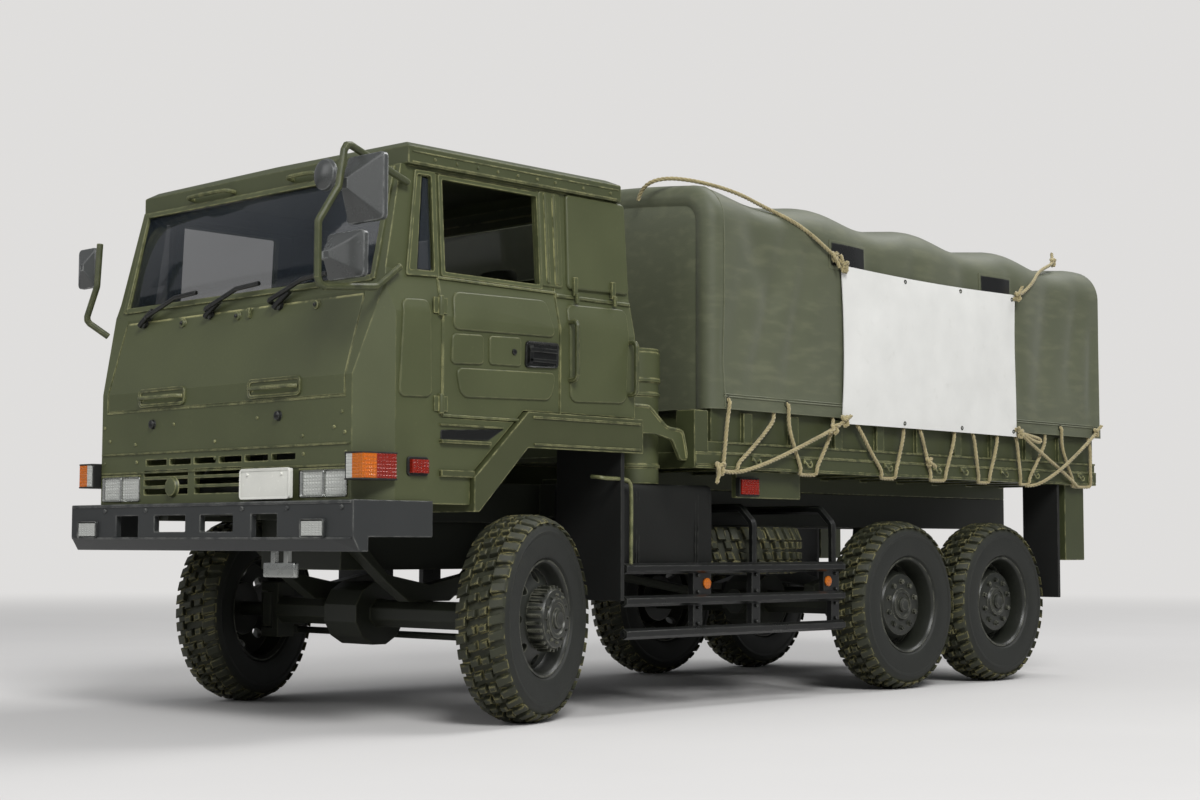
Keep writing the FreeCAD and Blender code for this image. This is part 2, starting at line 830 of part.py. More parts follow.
def make_frame():
    """Two channel rails joined by crossmembers, with brackets for the bumper and side boxes."""
    pieces = []
    for side in SIDES:
        web_inner = S.rail_outer_x - S.rail_wall
        outline = [
            (S.rail_outer_x, S.rail_bottom),
            (S.rail_outer_x, RAIL_TOP),
            (RAIL_INNER_X, RAIL_TOP),
            (RAIL_INNER_X, RAIL_TOP - S.rail_wall),
            (web_inner, RAIL_TOP - S.rail_wall),
            (web_inner, S.rail_bottom + S.rail_wall),
            (RAIL_INNER_X, S.rail_bottom + S.rail_wall),
            (RAIL_INNER_X, S.rail_bottom),
        ]
        outline = [(across * side, height) for across, height in outline]
        pieces.append(prism("XZ", outline, S.rail_front_y, S.rail_rear_y))
        near, far = RAIL_INNER_X * side, S.rail_outer_x * side
        across = (near, far) if side > 0 else (far, near)
        pieces.append(box(across, (S.bumper_front_y + S.bumper_wall, S.rail_front_y),
                          (S.rail_bottom, S.bumper_top - S.bumper_wall)))
    inside = S.rail_outer_x - S.rail_wall
    for middle in CROSSMEMBERS:
        half = S.crossmember_width / 2
        pieces.append(box((-inside, inside), (middle - half, middle + half),
                          (S.rail_bottom + S.rail_wall, RAIL_TOP - S.rail_wall)))
    for side in SIDES:
        for middle in (S.side_box_front_y + 3.0, S.side_box_rear_y - 3.0):
            pieces.append(box(across_side(side, S.rail_outer_x, S.side_box_inner_x),
                              (middle - 1.0, middle + 1.0), (S.rail_bottom + 1.0, RAIL_TOP)))
    node("chassis_frame", fuse(pieces))


SPRING_OUTER_X = S.rail_outer_x - 0.2
SPRING_INNER_X = RAIL_INNER_X + 0.2
TRUNNION_Y = S.rear_axle_y + S.rear_axle_pitch / 2
AXLE_TOP = S.tyre_radius + S.axle_tube_radius
CROSSMEMBERS = [
    S.rail_front_y + S.crossmember_width,
    S.cab_rear_y - S.crossmember_width,
    S.spare_y,
    TRUNNION_Y,
    S.rail_rear_y - S.crossmember_width / 2,
]


def across_side(side, low, high):
    """Limits across the truck, mirrored for the right side."""
    return (low * side, high * side) if side > 0 else (high * side, low * side)


def make_springs():
    """Front leaf springs in hangers, and rear ones that rock on a trunnion between two axles."""
    pieces = []
    for side in SIDES:
        limits = across_side(side, SPRING_INNER_X, SPRING_OUTER_X)
        middle = S.front_axle_y
        reach, leaf = S.spring_reach, S.spring_leaf
        eye = S.rail_bottom - S.spring_hanger
        outline = [
            (middle - reach, eye),
            (middle - reach / 2, AXLE_TOP + leaf + 1.6),
            (middle - reach / 4, AXLE_TOP),
            (middle + reach / 4, AXLE_TOP),
            (middle + reach / 2, AXLE_TOP + leaf + 1.6),
            (middle + reach, eye),
            (middle + reach, S.rail_bottom),
            (middle + reach - leaf, S.rail_bottom),
            (middle + reach - leaf, eye + leaf),
            (middle + reach / 2, AXLE_TOP + 2 * leaf + 1.6),
            (middle, AXLE_TOP + 2 * leaf),
            (middle - reach / 2, AXLE_TOP + 2 * leaf + 1.6),
            (middle - reach + leaf, eye + leaf),
            (middle - reach + leaf, S.rail_bottom),
            (middle - reach, S.rail_bottom),
        ]
        pieces.append(prism("YZ", outline, *limits))
        fore, aft = S.rear_axle_y, S.rear_axle_y + S.rear_axle_pitch
        half_post = leaf * 2
        outline = [
            (fore - leaf, AXLE_TOP),
            (fore + leaf, AXLE_TOP),
            (TRUNNION_Y - half_post, AXLE_TOP + leaf),
            (TRUNNION_Y + half_post, AXLE_TOP + leaf),
            (aft - leaf, AXLE_TOP),
            (aft + leaf, AXLE_TOP),
            (aft + leaf, AXLE_TOP + leaf),
            (TRUNNION_Y + half_post, AXLE_TOP + 3.5 * leaf),
            (TRUNNION_Y + half_post / 2, S.rail_bottom),
            (TRUNNION_Y - half_post / 2, S.rail_bottom),
            (TRUNNION_Y - half_post, AXLE_TOP + 3.5 * leaf),
            (fore - leaf, AXLE_TOP + leaf),
        ]
        pieces.append(prism("YZ", outline, *limits))
    node("leaf_springs", pieces)


def axle_housing(middle, half_length, nose_side):
    """A tube with a round differential housing and its pinion nose."""
    half = S.diff_width / 2
    tube = bar((-half_length, middle, S.tyre_radius), "x", 2 * half_length, S.axle_tube_radius)
    drum = bar((S.driveline_x - half, middle, S.tyre_radius), "x", S.diff_width, S.diff_radius, 12)
    nose_radius = S.diff_radius * 0.46
    nose_length = S.diff_radius + 1.2
    start = middle if nose_side > 0 else middle - nose_length
    nose = bar((S.driveline_x, start, S.tyre_radius), "y", nose_length, nose_radius)
    return [tube, drum, nose]


def make_front_axle():
    """The driven front axle ends in a yoke on each side that holds the kingpin."""
    low = S.tyre_radius - S.knuckle_height / 2 - S.yoke_gap
    high = S.tyre_radius + S.knuckle_height / 2 + S.yoke_gap
    inner = S.knuckle_radius + S.yoke_gap + 0.3
    back = inner + S.yoke_plate
    pieces = axle_housing(S.front_axle_y, KINGPIN_X - back, 1)
    bores = []
    half = S.knuckle_radius
    along = (S.front_axle_y - half, S.front_axle_y + half)
    for side in SIDES:
        for bottom in (low - S.yoke_plate, high):
            limits = across_side(side, KINGPIN_X - back, KINGPIN_X)
            pieces.append(box(limits, along, (bottom, bottom + S.yoke_plate)))
            pieces.append(bar((KINGPIN_X * side, S.front_axle_y, bottom), "z", S.yoke_plate, half))
        limits = across_side(side, KINGPIN_X - back, KINGPIN_X - inner)
        pieces.append(box(limits, along, (low - S.yoke_plate, high + S.yoke_plate)))
        bores.append(rod((KINGPIN_X * side, S.front_axle_y, low - 2 * S.yoke_plate), "z",
                         high - low + 4 * S.yoke_plate, S.kingpin_radius + S.shaft_clearance))
    node("front_axle", cut(fuse(pieces), bores))


def make_rear_axles():
    """Two driven axles whose stub ends run in the wheels."""
    housings = []
    reach = HALF_REAR_TRACK + REAR_HUB - S.rim_web - S.stub_end_gap
    shoulder = HALF_REAR_TRACK + REAR_DISH - S.rim_web - S.hub_length - S.yoke_gap
    for axle_y in REAR_AXLES.values():
        pieces = axle_housing(axle_y, shoulder, -1)
        pieces.append(rod((-reach, axle_y, S.tyre_radius), "x", 2 * reach, S.stub_radius))
        housings.append(fuse(pieces))
    node("rear_axles", housings)


def make_driveline():
    """A transfer case under the frame, and the shafts from it to the axles."""
    case = box((S.driveline_x - 4.5, S.driveline_x + 4.0), (S.case_front_y, S.case_rear_y),
               (S.case_bottom, S.rail_bottom + S.rail_wall))
    nose = S.diff_radius + 1.2
    front_nose = S.front_axle_y + nose
    fore_nose = S.rear_axle_y - nose
    middle, case_z, nose_z = S.driveline_x, S.case_bottom + 2.5, S.tyre_radius + 0.3
    shafts = [
        bent_rod([(middle, front_nose + 0.4, nose_z), (middle, S.case_front_y - 0.4, case_z)],
                 S.drive_shaft_radius, 1.0),
        bent_rod([(middle, S.case_rear_y + 0.4, case_z), (middle, fore_nose - 0.4, nose_z)],
                 S.drive_shaft_radius, 1.0),
    ]
    between = bar((S.driveline_x, S.rear_axle_y + S.diff_radius, S.tyre_radius), "y",
                  S.rear_axle_pitch - S.diff_radius - nose, S.drive_shaft_radius)
    node("transfer_case", case)
    node("drive_shafts", shafts + [between])


def make_engine():
    half = RAIL_INNER_X - S.panel_gap
    node("engine_block", box((-half, half), (S.engine_front_y, S.engine_rear_y),
                             (S.tyre_radius + S.diff_radius + 2.0, S.cab_floor_height - 3.0)))


# Cab. Its skin is what three profiles share: from the side, the front and above.


def cab_block(inset, bottom, rise=None):
    """The cab's outer form, moved inwards by the inset, from a height to the eaves or a rise above them."""
    top = EAVES if rise is None else EAVES + rise
    front, rear = S.cab_front_y + inset, S.cab_rear_y - inset
    side_outline = [
        (rear, bottom),
        (front, bottom),
        (front, S.face_bend_height),
        (S.screen_foot_y + inset, S.screen_foot_height),
        (S.screen_head_y + inset, EAVES),
        (S.screen_head_y + inset, top),
        (S.roof_rear_y - inset, top),
        (S.roof_rear_y - inset, EAVES),
        (rear, S.belt_height),
    ]
    if rise is None:
        side_outline = side_outline[:5] + side_outline[7:]
    lower, belt, eaves = (width - inset for width in
                          (S.cab_half_width, S.cab_belt_half_width, S.cab_eaves_half_width))
    half = [(lower, bottom), (lower, S.shoulder_height), (belt, S.belt_height), (eaves, EAVES)]
    if rise is not None:
        half.append((eaves, top))
    front_outline = half + [(-across, height) for across, height in reversed(half)]
    face = S.cab_face_half_width - inset
    corner = S.cab_corner_y
    plan = [(face, front), (lower, corner), (lower, rear), (-lower, rear), (-lower, corner), (-face, front)]
    return common([
        prism("YZ", side_outline, -lower, lower),
        prism("XZ", front_outline, front, rear),
        prism("XY", plan, bottom, top),
    ])


def fender_outline(lift, foot):
    """The stepped line over the front wheel, from its front foot to the cab's rear."""
    return [
        (S.fender_low_y - lift, foot),
        (S.fender_low_y - lift, S.fender_low_height + lift),
        (S.fender_bend_y - lift, S.fender_top + lift),
        (S.fender_rear_y + lift, S.fender_top + lift),
    ]


BEYOND = 4.0
BEYOND_CAB = S.cab_half_width + BEYOND
FLOOR_TOP = S.cab_floor_height + S.cab_wall


def region(x, y, z, gap=0.0):
    """A block that marks out a panel, drawn in by a gap all round in Y and Z."""
    (y_low, y_high), (z_low, z_high) = y, z
    return box(x, (y_low + gap, y_high - gap), (z_low + gap, z_high - gap))


def make_cab():
    """The cab's skin, split where its real panels meet, with the windows cut."""
    below = S.cab_bottom - BEYOND

    def skin():
        ring = cut(cab_block(0.0, S.cab_bottom), cab_block(S.cab_wall, below, BEYOND))
        arch = fender_outline(S.panel_gap, below) + [(S.fender_rear_y + S.panel_gap, below)]
        return cut(ring, prism("YZ", arch, -BEYOND_CAB, BEYOND_CAB))

    door_y, door_z = (S.door_front_y, S.door_rear_y), (S.door_bottom, DOOR_TOP)
    window_y, window_z = (S.window_front_y, S.window_rear_y), (S.window_sill, WINDOW_HEAD)
    quarter = [
        (S.quarter_rear_y, S.window_sill),
        (S.quarter_rear_y, WINDOW_HEAD),
        (S.quarter_rear_y - S.quarter_top_width, WINDOW_HEAD),
        (S.quarter_front_y, S.window_sill),
    ]
    inner_x = S.cab_eaves_half_width - S.cab_wall - 1.5
    doors = {}
    openings = []
    for side, name in SIDE_NAMES.items():
        limits = across_side(side, inner_x, BEYOND_CAB)
        panel = common([skin(), region(limits, door_y, door_z, S.panel_gap)])
        doors[name] = cut(panel, region(limits, window_y, window_z))
        openings.append(region(limits, door_y, door_z))
        openings.append(prism("YZ", quarter, *limits))
    openings.append(box((-S.screen_half_width, S.screen_half_width), (S.cab_front_y - 1.0, SCREEN_REAR_Y),
                        (SCREEN_BOTTOM, SCREEN_TOP)))
    openings.append(box((-S.rear_window_half_width, S.rear_window_half_width),
                        (S.cab_rear_y - 5.0, S.cab_rear_y + 5.0), (S.rear_window_sill, WINDOW_HEAD)))
    lid_x = (-S.lid_half_width, S.lid_half_width)
    face_y = (S.cab_front_y - 1.0, S.cab_front_y + 3.5)
    lid_z = (S.hood_seam_height, SCREEN_BOTTOM - S.screen_border)
    openings.append(region(lid_x, face_y, lid_z))
    node("front_lid", common([skin(), region((lid_x[0] + S.panel_gap, lid_x[1] - S.panel_gap), face_y, lid_z,
                                             S.panel_gap)]))
    openings += grille_slots() + lamp_openings()
    floor_front = S.cab_front_y + S.cab_wall
    floor = box((-inner_x, inner_x), (floor_front, S.cab_rear_y - S.cab_wall),
                (S.cab_floor_height, FLOOR_TOP))
    shell = cut(skin(), openings)
    node("cab_shell", fuse([shell, floor]))
    for name, door in doors.items():
        node(f"door_{name}", door)


SCREEN_BOTTOM = S.screen_foot_height + S.screen_border
SCREEN_TOP = EAVES - S.screen_border
SCREEN_REAR_Y = S.screen_head_y + 2.5


def grille_slots():
    """Rows of slots low in the cab's face, and a strip of longer ones above them."""
    through = (S.cab_front_y - 1.0, S.cab_front_y + S.cab_wall + 1.0)
    slots = []
    count = 6
    pitch = 2 * S.strip_half_width / count
    for index in range(count):
        left = -S.strip_half_width + pitch * index
        slots.append(box((left + S.slot_bridge / 2, left + pitch - S.slot_bridge / 2), through,
                         (S.strip_height, S.strip_height + S.slot_height)))
    for row in range(3):
        low = S.grille_low + row * S.slot_pitch
        middle = (S.grille_left_x + S.grille_right_x) / 2
        for limits in ((S.grille_left_x, middle - S.slot_bridge), (middle + S.slot_bridge, S.grille_right_x)):
            slots.append(box(limits, through, (low, low + S.slot_height)))
    return slots


def lamp_openings():
    through = (S.cab_front_y - 1.0, S.cab_front_y + S.cab_wall + 1.0)
    return [box(across_side(side, S.lamp_inner_x, S.lamp_outer_x), through, (S.lamp_bottom, S.lamp_top))
            for side in SIDES]


def make_roof():
    """A shallow lid with rounded edges and a turned-down rim, over the cab's open top."""
    bottom, top = EAVES, ROOF_TOP

    def lid(inset, low, drop):
        half, front, rear = S.roof_half_width - inset, S.roof_front_y + inset, S.roof_rear_y - inset
        edge = S.roof_edge_width
        shoulder = top - S.roof_edge_drop - drop
        across = [(half, low), (half, shoulder), (half - edge, top - drop), (0, top + S.roof_camber - drop),
                  (edge - half, top - drop), (-half, shoulder), (-half, low)]
        along = [(front, low), (front, shoulder), (front + edge, top + S.roof_camber - drop),
                 (rear - edge, top + S.roof_camber - drop), (rear, shoulder), (rear, low)]
        return common([prism("XZ", across, front, rear), prism("YZ", along, -half, half)])

    node("cab_roof", cut(lid(0.0, bottom, 0.0), lid(S.cab_wall, bottom - 1.0, S.cab_wall)))


def make_glass():
    """The windscreen, the rear window and the two quarter lights, set in the skin."""
    inset = S.panel_gap
    foot = S.face_bend_height - BEYOND
    ring = cut(cab_block(inset, foot), cab_block(inset + S.glass_thickness, foot - BEYOND, BEYOND))
    gap = S.panel_gap
    screen = region((-S.screen_half_width + gap, S.screen_half_width - gap),
                    (S.cab_front_y - 1.0, SCREEN_REAR_Y), (SCREEN_BOTTOM, SCREEN_TOP), gap)
    rear_pane = region((-S.rear_window_half_width + gap, S.rear_window_half_width - gap),
                       (S.cab_rear_y - 5.0, S.cab_rear_y + 1.0), (S.rear_window_sill, WINDOW_HEAD), gap)
    panes = [screen, rear_pane]
    for side in SIDES:
        outline = [
            (S.quarter_rear_y - gap, S.window_sill + gap),
            (S.quarter_rear_y - gap, WINDOW_HEAD - gap),
            (S.quarter_rear_y - S.quarter_top_width + 2 * gap, WINDOW_HEAD - gap),
            (S.quarter_front_y + 2 * gap, S.window_sill + gap),
        ]
        panes.append(prism("YZ", outline, *across_side(side, S.cab_eaves_half_width - 3.0, BEYOND_CAB)))
    node("cab_glass", common([ring, fuse(panes)]))


def make_seats():
    """A driver's seat on the right and a double seat on the left, on plinths."""
    rear = S.seat_rear_y
    pieces = []
    for low, high in ((-S.seat_outer_x, -S.seat_outer_x + S.driver_seat_width),
                      (S.seat_outer_x - S.double_seat_width, S.seat_outer_x)):
        outline = [
            (rear, FLOOR_TOP),
            (rear, FLOOR_TOP + S.seat_back_height),
            (rear - S.seat_back_depth, FLOOR_TOP + S.seat_back_height),
            (rear - S.seat_back_depth - 1.4, FLOOR_TOP + S.seat_height),
            (rear - S.seat_length, FLOOR_TOP + S.seat_height),
            (rear - S.seat_length + 1.2, FLOOR_TOP),
        ]
        pieces.append(prism("YZ", outline, low, high))
    node("seats", pieces)


def make_dashboard():
    """The dashboard across the cab below the screen, and the wheel on its column."""
    front = S.screen_foot_y + S.cab_wall + 0.3
    half = S.cab_face_half_width - S.cab_wall - 2.0
    outline = [
        (front, S.dash_bottom),
        (front, S.dash_top),
        (S.dash_rear_y, S.dash_top),
        (S.dash_rear_y + 0.8, S.dash_top - 3.0),
        (S.dash_rear_y - 1.5, S.dash_bottom),
    ]
    node("dashboard", prism("YZ", outline, -half, half))
    wheel_x, wheel_y, wheel_z = -S.steering_wheel_x, S.dash_rear_y + S.steering_wheel_reach, S.dash_top - 0.6
    ring = placed(hoop(S.steering_wheel_radius, S.steering_wheel_rod), wheel_x, wheel_y, wheel_z,
                  -S.steering_wheel_rake, (1, 0, 0))
    spoke = bar((wheel_x - S.steering_wheel_radius, wheel_y, wheel_z), "x", 2 * S.steering_wheel_radius,
                S.steering_wheel_rod * 0.8)
    foot = (wheel_x, S.dash_rear_y + 0.9, wheel_z - S.steering_column_drop)
    column = bent_rod([(wheel_x, wheel_y, wheel_z), foot], S.steering_wheel_rod, 1.0)
    node("steering_wheel", fuse([ring, spoke, column]))


def make_fenders():
    """A stepped fender over each front wheel with its outer flange, and the flaps behind the wheels."""
    fenders, flaps = [], []
    for side in SIDES:
        sheet = S.fender_sheet
        outer = fender_outline(0.0, S.fender_foot_height) + [
            (S.fender_rear_y, S.fender_underside),
            (S.fender_bend_y, S.fender_underside),
            (S.fender_low_y + S.fender_foot_width, S.fender_foot_height),
        ]
        inner = [
            (S.fender_low_y + sheet, S.fender_foot_height - 2.0),
            (S.fender_low_y + sheet, S.fender_low_height - sheet * 0.5),
            (S.fender_bend_y + sheet * 0.4, S.fender_top - sheet),
            (S.fender_rear_y + 2.0, S.fender_top - sheet),
            (S.fender_rear_y + 2.0, S.fender_foot_height - 2.0),
        ]
        flange = S.fender_half_width - sheet
        fenders.append(cut(prism("YZ", outer, *across_side(side, S.fender_inner_x, S.fender_half_width)),
                           prism("YZ", inner, *across_side(side, S.fender_inner_x - 1.0, flange))))
        limits = across_side(side, S.fender_inner_x + 1.4, S.cab_half_width)
        flaps.append(box(limits, (S.front_flap_y - sheet, S.front_flap_y),
                         (S.front_flap_bottom, S.fender_top - sheet)))
        limits = across_side(side, S.rear_flap_inner_x, S.guard_x + 0.6)
        flaps.append(box(limits, (S.rear_flap_y, S.rear_flap_y + sheet), (S.rear_flap_bottom, S.bed_bottom)))
    node("front_fenders", fenders)
    node("mud_flaps", flaps)


def make_bumper():
    """A deep channel across the front with slots and lamp recesses, and a wing round each end."""
    front, wall = S.bumper_front_y, S.bumper_wall
    rear = front + S.bumper_depth
    half = S.bumper_half_width

    def channel(inset, tail):
        return [
            (front + inset, S.bumper_top - inset),
            (front + inset, S.bumper_bend),
            (front + S.bumper_chamfer + inset, S.bumper_bottom + inset),
            (tail, S.bumper_bottom + inset),
            (tail, S.bumper_top - inset),
        ]

    beam = cut(prism("YZ", channel(as_size(0.0), rear), -half, half),
               prism("YZ", channel(wall, rear + 1.0), wall - half, half - wall))
    wings = [box(across_side(side, S.cab_half_width + S.panel_gap, half), (rear - wall, S.bumper_wrap_y),
                 (S.bumper_bend, S.bumper_top)) for side in SIDES]
    slots = []
    through = (front - 1.0, front + wall + 0.5)
    for limits, low in (
        ((S.bumper_hole_left, S.bumper_hole_left + S.bumper_hole_width), S.bumper_hole_bottom),
        ((S.bumper_slot_left, S.bumper_slot_left + S.bumper_slot_width), S.bumper_slot_bottom),
        ((S.bumper_slot_right, S.bumper_slot_right + S.bumper_slot_width), S.bumper_slot_bottom),
        ((S.bumper_hole_right, S.bumper_hole_right + S.bumper_hole_width), S.bumper_hole_bottom),
    ):
        slots.append(box(limits, through, (low, S.bumper_hole_top)))
    for left in (-S.fog_outer_x, S.fog_right_x):
        slots.append(box((left, left + S.fog_width), through, (S.fog_bottom, S.fog_bottom + S.fog_height)))
    node("front_bumper", cut(fuse([beam] + wings), slots))


def make_lamps():
    """Paired headlamps and fog lamps with clear glasses."""
    gap = S.panel_gap
    clear = []
    for side in SIDES:
        middle = (S.lamp_inner_x + S.lamp_outer_x) / 2
        for low, high in ((S.lamp_inner_x + gap, middle - gap), (middle + gap, S.lamp_outer_x - gap)):
            clear.append(box(across_side(side, low, high),
                             (S.cab_front_y + S.lamp_recess, S.cab_front_y + 3.0),
                             (S.lamp_bottom + gap, S.lamp_top - gap)))
    for left in (-S.fog_outer_x, S.fog_right_x):
        clear.append(box((left + gap, left + S.fog_width - gap),
                         (S.bumper_front_y + 0.2, S.bumper_front_y + S.bumper_wall + 1.0),
                         (S.fog_bottom + gap, S.fog_bottom + S.fog_height - gap)))
    node("clear_lamps", clear)


def make_signal_lamps():
    """Corner lamps that hug the cab, round side markers, guard reflectors and a lamp under the bed."""
    corner = []
    for side in SIDES:
        limits = across_side(side, S.signal_inner_x, S.signal_outer_x)
        block = box(limits, (S.signal_front_y, S.signal_rear_y), (S.signal_bottom, S.signal_top))
        corner.append(cut(block, cab_block(0.0, S.cab_bottom)))
        start = S.cab_half_width if side > 0 else -(S.cab_half_width + S.marker_depth)
        corner.append(bar((start, S.marker_y, S.marker_height), "x", S.marker_depth, S.marker_radius, 12))
        start = guard_plate(side)[1] if side > 0 else guard_plate(side)[0] - S.reflector_depth
        for along in REFLECTOR_PLATES:
            place = (start, along + S.guard_post_width / 2, S.guard_low + 1.5 * S.guard_pitch)
            corner.append(bar(place, "x", S.reflector_depth, S.reflector_radius, 12))
        limits = across_side(side, S.lamp_plate_outer_x, S.lamp_plate_outer_x + S.side_lamp_depth)
        corner.append(box(limits, (S.side_lamp_front_y, S.side_lamp_front_y + S.side_lamp_length),
                          (S.side_lamp_bottom, S.side_lamp_bottom + S.side_lamp_height)))
    node("signal_lamps", corner)


def make_number_plate():
    """A blank plate on a small bracket ahead of the grille."""
    half_gap = 1.5
    plate = box((S.plate_left_x, S.plate_left_x + S.plate_width), (S.plate_front_y, S.plate_front_y + 0.5),
                (S.plate_bottom, S.plate_bottom + S.plate_height))
    bracket = box((S.plate_left_x + half_gap, S.plate_left_x + S.plate_width - half_gap),
                  (S.plate_front_y + 0.5, S.cab_front_y),
                  (S.plate_bottom + 1.0, S.plate_bottom + S.plate_height - 1.0))
    node("number_plate", fuse([plate, bracket]))


def make_wipers():
    """Three wipers lying along the foot of the windscreen."""
    pieces = []
    for index in range(3):
        pivot = S.wiper_left_x + S.wiper_pitch * index
        foot_y, foot_z = S.screen_foot_y - 1.2, S.screen_foot_height - 1.2
        lift = S.wiper_lift
        arm = bent_rod([
            (pivot, foot_y + 0.55, foot_z - 0.2),
            (pivot, foot_y - 0.5, foot_z),
            (pivot + S.wiper_reach * 0.6, foot_y - 0.2, foot_z + lift),
            (pivot + S.wiper_reach, foot_y + 0.15, foot_z + lift + 0.4),
        ], S.wiper_radius, 0.5)
        pieces.append(arm)
    node("wipers", pieces)


def make_mirrors():
    """A long loop with two mirrors on the left, one on the right, and a round one above the screen."""
    tube = S.stay_radius
    front = S.stay_front_y
    foot = S.screen_foot_y - 2.4
    stay_top = S.main_mirror_bottom + S.main_mirror_height + S.stay_top_rise
    left = bent_rod([
        (S.cab_belt_half_width + 1.0, foot + 4.6, S.belt_height + 0.2),
        (S.cab_half_width, foot, S.stay_foot_height + 1.0),
        (S.stay_x, front, S.stay_foot_height),
        (S.stay_x, front, S.stay_jog_height),
        (S.stay_x + 0.8, front + 2.8, S.stay_jog_height + 5.0),
        (S.stay_x + 0.4, front + 4.2, stay_top),
        (S.cab_eaves_half_width + 0.9, S.screen_head_y + 0.6, EAVES - S.stay_end_drop),
    ], tube, 1.2, 8)
    right = bent_rod([
        (-S.cab_half_width - 0.2, foot + 1.6, S.right_stay_foot),
        (-S.cab_half_width - 2.2, foot - 1.4, S.right_stay_foot + 2.5),
        (-S.right_mirror_x, foot - 0.9, S.right_stay_foot + S.right_mirror_rise),
        (-S.right_mirror_x, foot - 0.5, S.right_stay_foot + S.right_stay_rise),
    ], tube, 1.0, 8)
    round_rear = S.round_mirror_y + S.round_mirror_depth
    above = bar((S.round_mirror_x, round_rear, EAVES - S.screen_border / 2), "y",
                S.screen_head_y - S.stay_gap - round_rear, S.handle_radius)
    node("mirror_stays", [left, right, above])
    right_top = S.right_stay_foot + S.right_mirror_rise + S.right_mirror_height
    mirrors = []
    for low_x, low_z, width, height in (
        (S.main_mirror_x, S.main_mirror_bottom, S.main_mirror_width, S.main_mirror_height),
        (S.low_mirror_x, S.low_mirror_bottom, S.low_mirror_width, S.low_mirror_height),
    ):
        mirrors.append(box((low_x, low_x + width),
                           (front + S.mirror_setback, front + S.mirror_setback + S.mirror_depth),
                           (low_z, low_z + height)))
    mirrors.append(box((-S.right_mirror_x - S.right_mirror_width, -S.right_mirror_x - tube - S.panel_gap),
                       (foot - 1.6, foot - 1.6 + S.mirror_depth),
                       (S.right_stay_foot + S.right_mirror_rise, right_top)))
    mirrors.append(bar((S.round_mirror_x, S.round_mirror_y, S.round_mirror_height), "y", S.round_mirror_depth,
                       S.round_mirror_radius, 12))
    node("mirrors", mirrors)


def make_handles():
    """Black grab handles on the left and right of the cab's rear corners and doors."""
    pieces = []
    for side in SIDES:
        stand = S.cab_half_width + S.handle_stand
        for along, low, high in (
            (S.front_handle_y, S.front_handle_low, S.front_handle_high),
            (S.rear_handle_y, S.rear_handle_low, S.rear_handle_high),
        ):
            pieces.append(bent_rod([
                (S.cab_half_width * side, along, low),
                (stand * side, along, low),
                (stand * side, along, high),
                (S.cab_half_width * side, along, high),
            ], S.handle_radius, S.handle_radius * 1.6))
    node("grab_handles", pieces)


def make_air_intake():
    """A round air cleaner with a cap, behind the cab on the left, and its shelf from the frame."""
    drum = bar((S.intake_x, S.intake_y, RAIL_TOP), "z", S.intake_top - S.intake_cap - RAIL_TOP,
               S.intake_radius - S.intake_cap_lip, 12)
    cap = bar((S.intake_x, S.intake_y, S.intake_top - S.intake_cap), "z", S.intake_cap, S.intake_radius, 12)
    shelf = box((RAIL_INNER_X, S.intake_x), (S.intake_y - S.intake_radius, S.intake_y + S.intake_radius),
                (RAIL_TOP, RAIL_TOP + S.cab_wall))
    node("air_intake", fuse([drum, cap, shelf]))


# Cargo bed, canopy and banner


def bed_joists():
    """The places of the joists, evenly spread between the bed's ends."""
    count = 11
    first = S.bed_front_y + S.stake_width / 2
    pitch = (S.bed_rear_y - S.bed_front_y - S.stake_width) / (count - 1)
    return [first + pitch * index for index in range(count)]


def make_bed():
    """A floor on joists and two sills, with a stepped rim, posts, lamp plates and tail housings."""
    rim = S.bed_rim
    half = S.bed_half_width
    ends = (S.bed_front_y, S.bed_rear_y)
    pieces = [box((-half, half), ends, (S.bed_floor - S.bed_sheet, S.bed_floor))]
    for side in SIDES:
        pieces.append(box(across_side(side, half - rim, half), ends, (S.bed_bottom, S.bed_floor)))
        pieces.append(box(across_side(side, RAIL_INNER_X, S.rail_outer_x), ends, (RAIL_TOP, S.bed_floor)))
        pieces.append(box(across_side(side, half - S.post_width, half),
                          (S.bed_front_y, S.bed_front_y + S.post_depth), (S.bed_floor, S.canopy_bottom - 0.4)))
        for middle in bed_joists():
            pieces.append(box(across_side(side, S.rail_outer_x, half),
                              (middle - S.stake_width / 2, middle + S.stake_width / 2),
                              (S.bed_bottom, S.bed_floor)))
        pieces.append(box(across_side(side, S.board_half_width, S.bed_ledge_x), ends,
                          (S.bed_floor, S.bed_ledge_top)))
        pieces.append(box(across_side(side, S.tail_inner_x, S.guard_x), (S.tail_front_y, S.tail_rear_y),
                          (S.tail_bottom, S.bed_bottom)))
        pieces.append(box(across_side(side, S.lamp_plate_outer_x - S.bed_sheet, S.lamp_plate_outer_x),
                          (S.side_lamp_front_y, S.lamp_plate_rear_y), (S.lamp_plate_bottom, S.bed_bottom)))
    node("cargo_bed", fuse(pieces))


BOARD_FRONT_Y = S.canopy_front_y + S.canopy_cloth + 0.3
BOARD_REAR_Y = S.bed_rear_y - S.board_thickness


